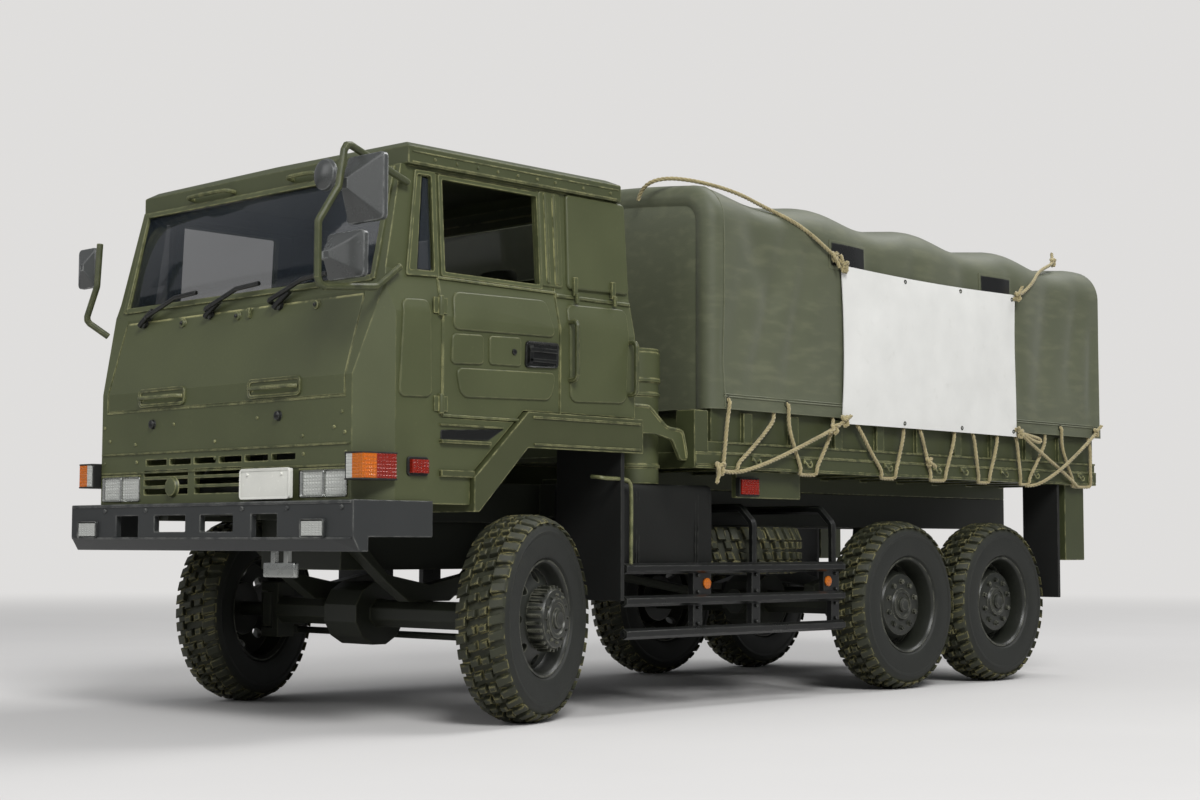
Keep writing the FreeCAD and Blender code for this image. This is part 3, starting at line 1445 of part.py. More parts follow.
def make_boards():
    """Side boards with stakes, and a board across the front, standing inside the canopy's skirt."""
    for side, name in SIDE_NAMES.items():
        inner = S.board_half_width - S.board_thickness
        pieces = [box(across_side(side, inner, S.board_half_width), (BOARD_FRONT_Y, BOARD_REAR_Y),
                      (S.bed_floor, S.board_top))]
        for middle in bed_joists()[1:-1]:
            pieces.append(box(across_side(side, S.board_half_width, S.bed_half_width),
                              (middle - S.stake_width / 2, middle + S.stake_width / 2),
                              (S.bed_ledge_top, S.canopy_bottom - 0.4)))
        node(f"side_board_{name}", fuse(pieces))
    inner = S.board_half_width - S.board_thickness
    node("head_board", box((-inner, inner), (BOARD_FRONT_Y, BOARD_FRONT_Y + S.board_thickness),
                           (S.bed_floor, S.board_top)))
    node("tailgate", box((-S.board_half_width, S.board_half_width), (BOARD_REAR_Y, S.bed_rear_y),
                         (S.bed_floor, S.board_top)))


BOW_COUNT = 5


def canopy_stations():
    """Places along the canopy and the roof's height there: high on each bow, low between."""
    length = S.canopy_rear_y - S.canopy_front_y
    first = S.canopy_front_y + S.canopy_bow_inset
    pitch = (length - 2 * S.canopy_bow_inset) / (BOW_COUNT - 1)
    stations = [(S.canopy_front_y, S.canopy_front_top - 0.8)]
    for index in range(BOW_COUNT):
        share = index / (BOW_COUNT - 1)
        top = S.canopy_front_top + (S.canopy_rear_top - S.canopy_front_top) * share
        if index:
            stations.append((first + pitch * (index - 0.5), top - S.canopy_sag))
        stations.append((first + pitch * index, top))
    stations.append((S.canopy_rear_y, S.canopy_rear_top - 0.3))
    return stations


def canopy_section(along, top, inset, bottom):
    """A closed wire across the canopy: upright sides, round shoulders and a low arched roof."""
    half = (S.canopy_half_width - inset).value
    top = (top - inset).value
    radius = (S.canopy_corner - inset).value
    along = as_size(along).value
    points = [Vector(half, along, as_size(bottom).value)]
    steps = 4
    centre_x, centre_z = half - radius, top - S.canopy_arch.value - radius
    for step in range(steps + 1):
        angle = math.pi / 2 * step / steps
        points.append(Vector(centre_x + radius * math.cos(angle), along, centre_z + radius * math.sin(angle)))
    points.append(Vector(half * 0.4, along, top - S.canopy_arch.value * 0.2))
    points += [Vector(-place.x, place.y, place.z) for place in reversed(points)]
    return Part.makePolygon(points + points[:1])


def make_canopy():
    """The cloth hood over five bows, closed at the front, open below and at the tail."""
    stations = canopy_stations()
    outer = Part.makeLoft([canopy_section(along, top, as_size(0.0), S.canopy_bottom)
                           for along, top in stations], True, True)
    below = S.canopy_bottom - 2.0
    cloth = S.canopy_cloth
    inner_stations = [(S.canopy_front_y + cloth, stations[0][1])] + stations[2:-1]
    inner_stations.append((S.canopy_rear_y + 1.0, stations[-1][1]))
    inner = Part.makeLoft([canopy_section(along, top, cloth, below)
                           for along, top in inner_stations], True, True)
    node("canopy", shape_feature(outer.cut(inner)))
    bows = []
    for index, (along, top) in enumerate(stations[1:-1:2]):
        half = S.board_half_width - S.board_thickness - S.bow_radius - S.panel_gap
        shoulder = top - S.canopy_arch - S.canopy_cloth - S.bow_radius - S.bow_drop
        middle = along + S.bow_setback if index < BOW_COUNT - 1 else along - S.bow_setback
        bows.append(bent_rod([
            (half, middle, S.bed_floor),
            (half, middle, shoulder),
            (-half, middle, shoulder),
            (-half, middle, S.bed_floor),
        ], S.bow_radius, S.canopy_corner))
    node("canopy_bows", bows)


def make_banner():
    """A blank cloth banner stretched along the left side of the canopy."""
    near = S.canopy_half_width + S.banner_clearance
    node("banner", box((near, near + S.banner_thickness), (S.banner_front_y, S.banner_rear_y),
                       (S.banner_bottom, S.banner_top)))


def make_side_equipment():
    """A covered box on the left and a fuel tank on the right, on the frame's sides."""
    inner, low, high = S.side_box_inner_x, S.side_box_bottom, S.side_box_top
    outer, bevel = S.side_box_outer_x, S.side_box_bevel
    outline = [(inner, low), (outer, low), (outer, high - bevel), (outer - bevel, high), (inner, high)]
    node("covered_box", prism("XZ", outline, S.side_box_front_y, S.side_box_rear_y))
    outer, bevel = -S.tank_outer_x, S.tank_bevel
    outline = [(-inner, low), (outer + bevel, low), (outer, low + bevel), (outer, high - bevel),
               (outer + bevel, high), (-inner, high)]
    node("fuel_tank", prism("XZ", outline, S.side_box_front_y, S.tank_rear_y))


GUARD_TOP = S.guard_low + 2 * S.guard_pitch
PLATE_TOP = GUARD_TOP - S.guard_tube / 2
REFLECTOR_PLATES = (S.guard_foot_y + S.guard_post_width, S.guard_post_rear_y - S.guard_post_width)


def guard_plate(side):
    """Limits across the truck of the flat uprights behind the guard's tubes."""
    return across_side(side, S.guard_x - 2 * S.guard_tube, S.guard_x - S.guard_tube / 2)


def make_side_guards():
    """Three tubes along each side, on flat uprights and two bent tubes from the frame."""
    guards = []
    for side in SIDES:
        across = S.guard_x * side
        pieces = [bar((across, S.guard_front_y, S.guard_low + S.guard_pitch * level), "y",
                      S.guard_rear_y - S.guard_front_y, S.guard_tube, 6) for level in range(3)]
        plates = [(S.guard_foot_y, S.guard_low), (S.guard_post_front_y, S.guard_low),
                  (S.guard_post_rear_y, S.guard_low)]
        plates += [(along, S.guard_low + S.guard_pitch) for along in REFLECTOR_PLATES]
        for along, bottom in plates:
            pieces.append(box(guard_plate(side), (along, along + S.guard_post_width), (bottom, PLATE_TOP)))
        for along in (S.guard_post_front_y, S.guard_post_rear_y):
            middle = along + S.guard_post_width / 2
            pieces.append(bent_rod([
                (S.rail_outer_x * side, middle, S.guard_tube_height),
                ((S.guard_tube_x - S.guard_tube_drop) * side, middle, S.guard_tube_height),
                (S.guard_tube_x * side, middle, S.guard_tube_height - S.guard_tube_drop),
                (S.guard_tube_x * side, middle, GUARD_TOP - S.guard_tube),
            ], S.guard_tube, 1.0))
        guards.append(fuse(pieces))
    node("side_guards", guards)


def make_tail_lamps():
    """Two round lamps on each housing under the tail, and the towing hook."""
    lamps = []
    for side in SIDES:
        for height in (S.tail_bottom + 2.2, S.tail_bottom + 6.4):
            lamps.append(bar(((S.tail_inner_x + S.guard_x) / 2 * side, S.tail_rear_y, height), "y",
                             S.tail_lamp_depth, S.tail_lamp_radius, 12))
    node("tail_lamps", lamps)
    shank = bar((0, S.rail_rear_y, TOW_HEIGHT), "y", S.hook_reach - S.hook_radius * 1.2, S.hook_rod * 0.8)
    eye_y = S.rail_rear_y + S.hook_reach - S.hook_radius
    eye = bar((0, eye_y, TOW_HEIGHT - S.hook_rod), "z", 2 * S.hook_rod, S.hook_radius)
    hole = bar((0, eye_y, TOW_HEIGHT - 2 * S.hook_rod), "z", 4 * S.hook_rod, S.hook_radius * 0.45)
    node("tow_hook", cut(fuse([shank, eye]), hole))


TOW_HEIGHT = S.rail_bottom + S.rail_height / 2


def build():
    make_wheels()
    make_spare()
    make_knuckles()
    make_tie_rod()
    make_frame()
    make_springs()
    make_front_axle()
    make_rear_axles()
    make_driveline()
    make_engine()
    make_cab()
    make_roof()
    make_glass()
    make_seats()
    make_dashboard()
    make_fenders()
    make_bumper()
    make_lamps()
    make_signal_lamps()
    make_number_plate()
    make_wipers()
    make_mirrors()
    make_handles()
    make_air_intake()
    make_bed()
    make_boards()
    make_canopy()
    make_banner()
    make_side_equipment()
    make_side_guards()
    make_tail_lamps()


def check_and_write():
    """Stop on any failed feature or shape, and write each sub-part to its own file."""
    DOCUMENT.recompute()
    failed = [item.Name for item in DOCUMENT.Objects if "Invalid" in item.State or "Error" in item.State]
    for label, item in NODES.items():
        if item.Shape.isNull() or not item.Shape.isValid() or not item.Shape.Solids:
            failed.append(label)
    if failed:
        raise RuntimeError("Not built: " + ", ".join(failed))
    os.makedirs("parts", exist_ok=True)
    for label, item in NODES.items():
        item.Shape.exportStep(f"parts/{label}.step")
        solids = item.Shape.Solids
        print(label, len(solids), "solids", round(sum(solid.Volume for solid in solids), 1), "mm3")


build()
check_and_write()
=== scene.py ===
# %% [markdown]
# # A canvas-topped army truck, as a 1:35 scale model
# The CAD model already holds every main shape at its place. This lesson adds
# what makes the model look real: paint, rubber, cloth, rope and small fittings.
# The first cell loads the CAD parts and writes each part's place into its mesh.
# %% Load the CAD model
import math

import bmesh
import bpy
from mathutils import Matrix, Quaternion, Vector


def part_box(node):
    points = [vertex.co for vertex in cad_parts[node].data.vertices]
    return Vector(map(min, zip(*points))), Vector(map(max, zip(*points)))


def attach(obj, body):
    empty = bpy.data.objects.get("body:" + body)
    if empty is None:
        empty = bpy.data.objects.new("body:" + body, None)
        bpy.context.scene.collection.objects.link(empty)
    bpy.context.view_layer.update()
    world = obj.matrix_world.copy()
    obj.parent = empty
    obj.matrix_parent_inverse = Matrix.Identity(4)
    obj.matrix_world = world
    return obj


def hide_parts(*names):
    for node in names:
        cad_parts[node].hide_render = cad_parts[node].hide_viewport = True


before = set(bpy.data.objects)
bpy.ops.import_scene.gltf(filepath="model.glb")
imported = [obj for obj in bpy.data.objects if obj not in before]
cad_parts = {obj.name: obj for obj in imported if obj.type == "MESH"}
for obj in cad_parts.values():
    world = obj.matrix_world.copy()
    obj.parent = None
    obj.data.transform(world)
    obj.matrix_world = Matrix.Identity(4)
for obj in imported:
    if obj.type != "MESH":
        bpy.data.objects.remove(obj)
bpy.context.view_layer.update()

MM = 0.001

# %% [markdown]
# ## Camera
# The photograph was taken from close by and low, a little in front of the left
# side. The camera gets the place and lens that make the CAD corners land on the
# photographed ones.
# %% Camera
CAMERA_PLACE = (244.12, -269.89, 26.36)
YAW, PITCH, ROLL = math.radians(43.597), math.radians(4.187), math.radians(0.136)
SENSOR_WIDTH = 36.0
FOCAL_LENGTH = 59.23
LENS_SHIFT = 0.0023
CLIP_NEAR, CLIP_FAR = 0.01, 20.0

camera = bpy.data.objects.new("Camera", bpy.data.cameras.new("Camera"))
bpy.context.scene.collection.objects.link(camera)
camera.location = Vector(CAMERA_PLACE) * MM
sight = Vector((-math.sin(YAW) * math.cos(PITCH), math.cos(YAW) * math.cos(PITCH), math.sin(PITCH)))
camera.rotation_mode = "QUATERNION"
camera.rotation_quaternion = sight.to_track_quat("-Z", "Y") @ Quaternion((0, 0, 1), ROLL)
camera.data.sensor_width = SENSOR_WIDTH
camera.data.lens = FOCAL_LENGTH
camera.data.shift_x = LENS_SHIFT
camera.data.clip_start, camera.data.clip_end = CLIP_NEAR, CLIP_FAR
bpy.context.scene.camera = camera
bpy.context.scene.view_settings.view_transform = "Standard"
print("Camera looks along", [round(part, 3) for part in sight])


# %% [markdown]
# ## A short way to write materials
# A material is a graph of nodes. Placing each node by hand is slow to read, so
# one class wraps a socket and lets Python's own signs stand for Math nodes, and
# another holds a material and places every other kind of node with one method.
# %% The two classes
EDGE_START, EDGE_FULL = 0.005, 0.11


class Wire:
    """A socket of a finish. Arithmetic on it places Math nodes."""

    def __init__(self, finish, socket):
        self.finish = finish
        self.socket = socket

    def math(self, operation, first, second):
        """One Math node with its two inputs."""
        return self.finish.node("ShaderNodeMath", {"operation": operation}, {0: first, 1: second})

    def __add__(self, other):
        return self.math("ADD", self, other)

    def __sub__(self, other):
        return self.math("SUBTRACT", self, other)

    def __rsub__(self, other):
        return self.math("SUBTRACT", other, self)

    def __mul__(self, other):
        return self.math("MULTIPLY", self, other)

    __radd__ = __add__
    __rmul__ = __mul__


class Finish:
    """A material of procedural nodes for one of the record's material slots."""

    def __init__(self, name, slot, **constants):
        self.material = bpy.data.materials.new(name)
        self.material.use_nodes = True
        self.material["slot"] = slot
        self.tree = self.material.node_tree
        self.shader = self.tree.nodes["Principled BSDF"]
        for socket, value in constants.items():
            self.shader.inputs[socket.replace("_", " ")].default_value = value

    def put(self, socket, value):
        """Link a wire to a socket, or write a plain value in it."""
        if isinstance(value, Wire):
            self.tree.links.new(value.socket, socket)
        else:
            socket.default_value = value

    def node(self, kind, settings=None, inputs=None, output=0):
        """Place a node: its settings first, then the values or links of its sockets."""
        placed = self.tree.nodes.new(kind)
        for name, value in (settings or {}).items():
            setattr(placed, name, value)
        for socket, value in (inputs or {}).items():
            self.put(placed.inputs[socket], value)
        return Wire(self, placed.outputs[output])

    def shade(self, **inputs):
        """Set or link sockets of the shader itself."""
        for socket, value in inputs.items():
            self.put(self.shader.inputs[socket.replace("_", " ")], value)

    def place(self):
        """Where a point is on its piece."""
        return self.node("ShaderNodeTexCoord", output="Object")

    def grain(self, size, detail=2.0, stretch=(1, 1, 1)):
        """Noise whose patches are about a size in millimetres."""
        scaled = self.node("ShaderNodeMapping", inputs={"Vector": self.place(), "Scale": stretch})
        return self.node("ShaderNodeTexNoise",
                         inputs={"Vector": scaled, "Scale": 1 / (size * MM), "Detail": detail})

    def ramp(self, value, low, high):
        """A smooth step from 0 at low to 1 at high."""
        return self.node("ShaderNodeMapRange", {"interpolation_type": "SMOOTHSTEP"},
                         {"Value": value, "From Min": low, "From Max": high})

    def blend(self, mask, under, over):
        """A colour under another, which shows where the mask is 1."""
        return self.node("ShaderNodeMix", {"data_type": "RGBA"}, {0: mask, 6: under, 7: over}, 2)

    def attribute(self, name):
        """A value that is stored on the mesh."""
        return self.node("ShaderNodeAttribute", {"attribute_name": name}, output="Fac")

    def edges(self, width):
        """1 close to sharp outer and inner edges, 0 on flat ground."""
        rounded = self.node("ShaderNodeBevel", {"samples": 4}, {"Radius": width * MM})
        flat = self.node("ShaderNodeNewGeometry", output="Normal")
        likeness = self.node("ShaderNodeVectorMath", {"operation": "DOT_PRODUCT"},
                             {0: rounded, 1: flat}, "Value")
        return self.ramp(1 - likeness, EDGE_START, EDGE_FULL)

    def bump(self, height, depth):
        """Raise the surface by up to a depth in millimetres."""
        self.shade(Normal=self.node("ShaderNodeBump", inputs={"Height": height, "Distance": depth * MM}))

    def coat(self, mask, under, over, gloss, height, depth):
        """Two blended colours, gloss and bump in one go, and with them the finished material."""
        self.shade(Base_Color=self.blend(mask, under, over), Roughness=gloss)
        self.bump(height, depth)
        return self.material


def chip(red, green, blue):
    """A colour chip read in screen values, as the shader's linear colour."""
    linear = [((part / 255 + 0.055) / 1.055) ** 2.4 if part > 10 else part / 255 / 12.92
              for part in (red, green, blue)]
    return (*linear, 1.0)


def tinted(colour, factor):
    """A colour made darker or lighter."""
    return (*[part * factor for part in colour[:3]], 1.0)


# %% [markdown]
# ## Paint
# The truck wears one olive paint, a little glossy as on a plastic model, with
# darker copies for the fenders and the roof that are painted shade. Real paint is
# never one colour: it is cloudy over a few millimetres and speckled below that.
# Along its edges it turns pale and yellowish, partly from rubbing and partly as a
# painted highlight. A Bevel node compares the true normal with a rounded one,
# which finds those edges without any texture.
# %% Painted finishes
def painted(name, slot, colour, rubbed_and_highlight, gloss=0.42, wear_and_highlight=0.9):
    """Paint of a colour that turns to another along its edges, partly from rubbing and partly as a painted
    highlight.
    """
    finish = Finish(name, slot, IOR=1.47)
    cloud = finish.grain(9.0, 3.0)
    speck = finish.grain(0.5, 2.0)
    ground = finish.blend(cloud, tinted(colour, 0.84), tinted(colour, 1.16))
    ground = finish.blend(finish.ramp(speck, 0.62, 0.8) * 0.35, ground, tinted(colour, 1.5))
    breakup = finish.ramp(finish.grain(1.6, 3.0), 0.32, 0.62)
    # Pale edges: partly paint rubbing thin, partly a painted highlight.
    edge_wear_and_highlight = finish.edges(0.32) * breakup * wear_and_highlight
    return finish.coat(edge_wear_and_highlight, ground, rubbed_and_highlight,
                       gloss + 0.16 * cloud - 0.06 * speck, finish.grain(0.35, 2.0), 0.006)


# The pale yellowish edge colour is partly rubbing and partly a painted highlight.
RUBBED_HIGHLIGHT_OLIVE = chip(162, 160, 112)
olive = painted("OlivePaint", "cab_green", chip(74, 79, 50), RUBBED_HIGHLIGHT_OLIVE)
# Darker copies of the olive for the fenders and the roof: painted shade, where these faces get less light.
fender_shaded_olive = painted("FenderShadedOlivePaint", "cab_green", chip(63, 67, 40), RUBBED_HIGHLIGHT_OLIVE)
roof_shaded_olive = painted("RoofShadedOlivePaint", "cab_green", chip(69, 74, 47), RUBBED_HIGHLIGHT_OLIVE)
bed_olive = painted("BedOlivePaint", "dark_green", chip(62, 67, 41), RUBBED_HIGHLIGHT_OLIVE)
chassis_dark = painted("ChassisPaint", "dark_green", chip(34, 37, 27), chip(86, 89, 62), 0.5, 0.6)
bumper_black = painted("BumperSlate", "black", chip(46, 48, 48), chip(124, 125, 120), 0.36, 0.8)
gloss_black = painted("GlossBlack", "black", chip(15, 16, 15), chip(96, 98, 92), 0.25, 0.5)
rim_paint = painted("RimPaint", "rim", chip(34, 36, 30), chip(116, 116, 102), 0.34, 0.8)
print("Painted finishes:", [material.name for material in bpy.data.materials if "Paint" in material.name])

# %% [markdown]
# ## Rubber, cloth, glass and the rest
# Tyres carry ochre-green edges on their lugs, partly dust and partly a painted
# glint, which a value stored on each vertex keeps off the side walls. Canvas is
# soft and cloudy, with pale creases and hems that are partly wear and partly a
# painted highlight. The banner is bright woven plastic, and the ropes are
# straw-coloured twine. Lamp glasses let light through and have a ribbed face.
# %% Soft and clear finishes
def tyre_rubber():
    """Black rubber whose tread is greener, and dusty along its edges, where it also carries a painted glint.
    """
    finish = Finish("TyreRubber", "tyre", IOR=1.45)
    tread = finish.attribute("tread")
    cloud = finish.grain(2.2, 3.0)
    wall = finish.blend(cloud, chip(24, 26, 23), chip(38, 40, 35))
    lugs = finish.blend(cloud, chip(34, 36, 26), chip(56, 58, 40))
    rubber = finish.blend(tread, wall, lugs)
    # Ochre lug edges: partly dust, partly a painted glint.
    dust_and_glint = finish.edges(0.35) * finish.ramp(finish.grain(1.7, 2.0), 0.42, 0.62) * (0.08 + 0.8 * tread)
    return finish.coat(dust_and_glint, rubber, chip(132, 126, 82), 0.52 + 0.22 * cloud, finish.grain(0.3, 3.0), 0.02)


def canvas_cloth():
    """Olive canvas: cloudy, drifting in colour and finely woven, with pale creases and hems that are partly
    wearing and partly a painted highlight.
    """
    finish = Finish("HoodCanvas", "canvas", Sheen_Weight=0.12, Sheen_Roughness=0.5)
    cloud = finish.grain(14.0, 4.0)
    drift = finish.grain(3.0, 4.0, (1, 0.5, 2))
    ground = finish.blend(cloud, chip(72, 77, 57), chip(92, 96, 73))
    ground = finish.blend(finish.ramp(drift, 0.45, 0.75) * 0.4, ground, chip(108, 110, 84))
    weave = finish.grain(0.16, 1.0)
    # Pale creases and hems: partly wear, partly a painted highlight of the folds.
    edge_wear_and_highlight = finish.edges(0.3) * 0.3
    return finish.coat(edge_wear_and_highlight, ground, chip(142, 143, 112),
                       0.5 + 0.18 * drift, weave + 0.7 * finish.grain(1.2, 3.0), 0.02)


def banner_cloth():
    """White woven plastic with a little grime."""
    finish = Finish("BannerCloth", "banner_white", Sheen_Weight=0.1)
    cloud = finish.grain(5.0, 4.0)
    ground = finish.blend(cloud, chip(214, 214, 210), chip(232, 232, 228))
    fibre = finish.grain(0.22, 2.0, (1, 0.35, 2.2)) + finish.grain(0.22, 2.0, (1, 2.2, 0.35))
    grime = finish.ramp(finish.grain(2.4, 4.0), 0.6, 0.85) * 0.25
    return finish.coat(grime, ground, chip(190, 190, 182), 0.5 + 0.12 * cloud, fibre, 0.012)


def rope_twine():
    """Straw-coloured twine, dirty in places."""
    finish = Finish("Twine", "canvas", Sheen_Weight=0.3, Sheen_Roughness=0.6)
    fleck = finish.grain(0.9, 4.0)
    ground = finish.blend(fleck, chip(132, 121, 82), chip(184, 170, 124))
    dirt = finish.ramp(finish.grain(3.5, 2.0), 0.5, 0.75) * 0.4
    return finish.coat(dirt, ground, chip(108, 98, 68), 0.75 + 0.15 * fleck, finish.grain(0.12, 3.0), 0.03)


def clear_glass(name, slot, colour):
    """Thin window plastic made dark: its dark colour covers more than half of what is behind it, as painted
    shade of the dim cab inside.
    """
    finish = Finish(name, slot, IOR=1.6, Alpha=0.6)
    haze = finish.grain(14.0, 3.0)
    return finish.coat(haze, tinted(colour, 0.8), tinted(colour, 1.2),
                       0.03 + 0.04 * haze, finish.grain(24.0, 0.0), 0.01)


def polished(name, slot, colour, gloss):
    """Bare or plated metal with faint wiping marks."""
    finish = Finish(name, slot, Metallic=0.9)
    wipe = finish.grain(1.4, 4.0, (1, 0.4, 2.0))
    return finish.coat(wipe, tinted(colour, 0.85), colour,
                       gloss + 0.12 * wipe, finish.grain(0.5, 2.0), 0.003)


def dark_canvas():
    """Black cover cloth, dull, with a fine weave, whose edges are pale from rubbing and from a painted
    highlight.
    """
    finish = Finish("BlackCanvas", "rubber", Specular_IOR_Level=0.3)
    cloud = finish.grain(4.0, 4.0)
    ground = finish.blend(cloud, chip(12, 13, 11), chip(24, 25, 22))
    # Pale edges: partly rubbing, partly a painted highlight.
    edge_wear_and_highlight = finish.edges(0.4) * finish.ramp(finish.grain(1.5, 3.0), 0.4, 0.7) * 0.5
    return finish.coat(edge_wear_and_highlight, ground, chip(70, 72, 66),
                       0.6 + 0.2 * cloud, finish.grain(0.2, 2.0) + 0.5 * finish.grain(1.0, 2.0), 0.02)


def lamp_glass(name, slot, colour, pitch, stretch):
    """Moulded lamp glass: clear plastic whose back is pressed in ribs or cells."""
    finish = Finish(name, slot, IOR=1.49, Transmission_Weight=0.45)
    scaled = finish.node("ShaderNodeMapping", inputs={"Vector": finish.place(), "Scale": stretch})
    cells = finish.node("ShaderNodeTexVoronoi", {"feature": "SMOOTH_F1", "distance": "CHEBYCHEV"},
                        {"Vector": scaled, "Scale": 1 / (pitch * MM), "Randomness": 0.0, "Smoothness": 0.15})
    return finish.coat(cells, tinted(colour, 1.25), tinted(colour, 0.6), 0.1 + 0.1 * cells, cells, 0.12)


tyre = tyre_rubber()
canvas = canvas_cloth()
banner_white = banner_cloth()
twine = rope_twine()
# The windows are darkened as painted shade of the dim cab behind them.
shaded_window_glass = clear_glass("ShadedWindowGlass", "glass", chip(40, 46, 52))
headlamp_glass = lamp_glass("HeadlampGlass", "lamp_clear", chip(232, 234, 228), 0.62, (1, 1, 0.6))
amber_glass = lamp_glass("AmberGlass", "lamp_amber", chip(236, 128, 30), 0.5, (1, 1, 1))
red_glass = lamp_glass("RedGlass", "lamp_amber", chip(172, 38, 18), 0.5, (1, 1, 1))
lamp_silver = polished("LampSilver", "lamp_clear", chip(176, 178, 174), 0.22)
mirror_silver = polished("MirrorSilver", "mirror", chip(214, 218, 220), 0.04)
black_canvas = dark_canvas()
black_rubber = painted("BlackRubber", "rubber", chip(19, 20, 18), chip(70, 71, 64), 0.6, 0.5)
seat_cloth = painted("SeatCloth", "seat", chip(74, 78, 62), chip(96, 99, 80), 0.75, 0.2)
# The grey ground and pale grey edges of the mirror shells are a painted reflection on glossy black.
mirror_shell_painted_sheen = painted("MirrorShell", "mirror", chip(70, 72, 71), chip(168, 170, 168), 0.22, 0.8)
plate_white = painted("PlateWhite", "plate_white", chip(222, 222, 214), chip(240, 240, 234), 0.35, 0.2)
print("All finishes:", len(bpy.data.materials))


# %% [markdown]
# ## Tools for modelling
# The same few steps come back for every piece: start from a primitive, choose
# faces or edges by their place, soften the edges, and hand the piece over to
# the part of the truck that it moves with.
# %% Selecting
WELD = 1e-7


def rest():
    """Back to object mode, with nothing selected."""
    active = bpy.context.view_layer.objects.active
    if active and active.mode != "OBJECT":
        bpy.ops.object.mode_set(mode="OBJECT")
    bpy.ops.object.select_all(action="DESELECT")


def hold(piece, *others):
    """Select pieces and make the first one active."""
    rest()
    for thing in (piece, *others):
        thing.select_set(True)
    bpy.context.view_layer.objects.active = piece
    return piece


def edit(piece):
    """Into edit mode on a piece, with all of it selected."""
    hold(piece)
    bpy.ops.object.mode_set(mode="EDIT")
    bpy.ops.mesh.select_all(action="SELECT")
    return piece


def pick(kind, test):
    """In edit mode, select faces, edges or points whose middle, in millimetres, and direction pass."""
    bpy.ops.mesh.select_mode(type=kind)
    bpy.ops.mesh.select_all(action="DESELECT")
    mesh = bmesh.from_edit_mesh(bpy.context.object.data)
    if kind == "FACE":
        found = [face for face in mesh.faces if test(face.calc_center_median() / MM, face.normal)]
    elif kind == "EDGE":
        found = []
        for edge in mesh.edges:
            first, last = (point.co for point in edge.verts)
            if test((first + last) / (2 * MM), (last - first).normalized()):
                found.append(edge)
    else:
        found = [point for point in mesh.verts if test(point.co / MM, point.normal)]
    for element in found:
        element.select_set(True)
    mesh.select_flush_mode()
    bmesh.update_edit_mesh(bpy.context.object.data)
    return len(found)


def select_all():
    """In edit mode, select every point."""
    bpy.ops.mesh.select_mode(type="VERT")
    bpy.ops.mesh.select_all(action="SELECT")


def tidy_up():
    """Merge doubled points and turn all faces outwards."""
    select_all()
    bpy.ops.mesh.remove_doubles(threshold=WELD)
    bpy.ops.mesh.normals_make_consistent(inside=False)


# %% Starting shapes
def settle():
    """Write the active object's place, turn and size into its mesh."""
    bpy.ops.object.transform_apply(location=True, rotation=True, scale=True)
    return bpy.context.object


def block(x, y, z):
    """A cube between two limits along each axis, in millimetres."""
    rest()
    middle = [(low + high) / 2 * MM for low, high in (x, y, z)]
    size = [(high - low) * MM for low, high in (x, y, z)]
    bpy.ops.mesh.primitive_cube_add(size=1.0, location=middle, scale=size)
    return settle()


AXIS_TURNS = {"X": (0, math.pi / 2, 0), "Y": (-math.pi / 2, 0, 0), "Z": (0, 0, 0)}


def rod(start, axis, length, radius, corners=16, taper=1.0):
    """A cylinder from its start along an axis, narrowed to a share of its radius."""
    rest()
    middle = Vector(start)
    middle["XYZ".index(axis)] += length / 2
    bpy.ops.mesh.primitive_cone_add(vertices=corners, radius1=radius * MM, radius2=radius * taper * MM,
                                    depth=length * MM, location=middle * MM, rotation=AXIS_TURNS[axis])
    return settle()


def turned(profile, steps):
    """Turn a profile of (along, radius) pairs about X: a ring extruded and resized pair by pair."""
    rest()
    along, radius = profile[0]
    bpy.ops.mesh.primitive_circle_add(vertices=steps, radius=radius * MM, location=(along * MM, 0, 0),
                                      rotation=AXIS_TURNS["X"])
    piece = settle()
    edit(piece)
    for next_along, next_radius in profile[1:]:
        bpy.ops.mesh.extrude_edges_move()
        bpy.ops.transform.translate(value=((next_along - along) * MM, 0, 0))
        share = next_radius / radius
        bpy.ops.transform.resize(value=(1, share, share), center_override=(next_along * MM, 0, 0))
        along, radius = next_along, next_radius
    tidy_up()
    rest()
    return piece


# %% Joining, repeating and softening
def modify(piece, kind, **settings):
    """Add a modifier with its settings to a piece, and apply it."""
    hold(piece)
    modifier = piece.modifiers.new(kind, kind)
    for name, value in settings.items():
        setattr(modifier, name, value)
    bpy.ops.object.modifier_apply(modifier=modifier.name)
    return piece


def cut(piece, cutter):
    """Take a cutter's shape out of a piece, and then the cutter away."""
    modify(piece, "BOOLEAN", object=cutter, solver="EXACT")
    bpy.data.objects.remove(cutter)
    return piece


def spin_round(piece, count):
    """Repeat a whole mesh in a circle about X."""
    edit(piece)
    bpy.ops.mesh.spin(steps=count - 1, dupli=True, angle=2 * math.pi * (count - 1) / count,
                      center=(0, 0, 0), axis=(1, 0, 0))
    rest()
    return piece


def joined(*pieces):
    """Pieces made one mesh."""
    hold(*pieces)
    bpy.ops.object.join()
    return bpy.context.object


def twin(piece, matrix=None):
    """A copy with its own mesh, moved by a matrix."""
    copy = piece.copy()
    copy.data = piece.data.copy()
    bpy.context.scene.collection.objects.link(copy)
    if matrix is not None:
        copy.data.transform(matrix)
        if matrix.determinant() < 0:
            copy.data.flip_normals()
    return copy


MIRRORED = Matrix.Scale(-1, 4, (1, 0, 0))


def soften(piece, width=0.15, segments=2, angle=25):
    """Round every edge sharper than an angle."""
    return modify(piece, "BEVEL", width=width * MM, segments=segments, angle_limit=math.radians(angle))


def thicken(sheet, thickness, offset=-1.0):
    """Give a sheet its thickness, inwards unless the offset says otherwise."""
    return modify(sheet, "SOLIDIFY", thickness=thickness * MM, offset=offset)


def both(*pieces):
    """Pieces of the left side together with their mirror image on the right."""
    piece = joined(*pieces) if len(pieces) > 1 else pieces[0]
    return joined(piece, twin(piece, MIRRORED))


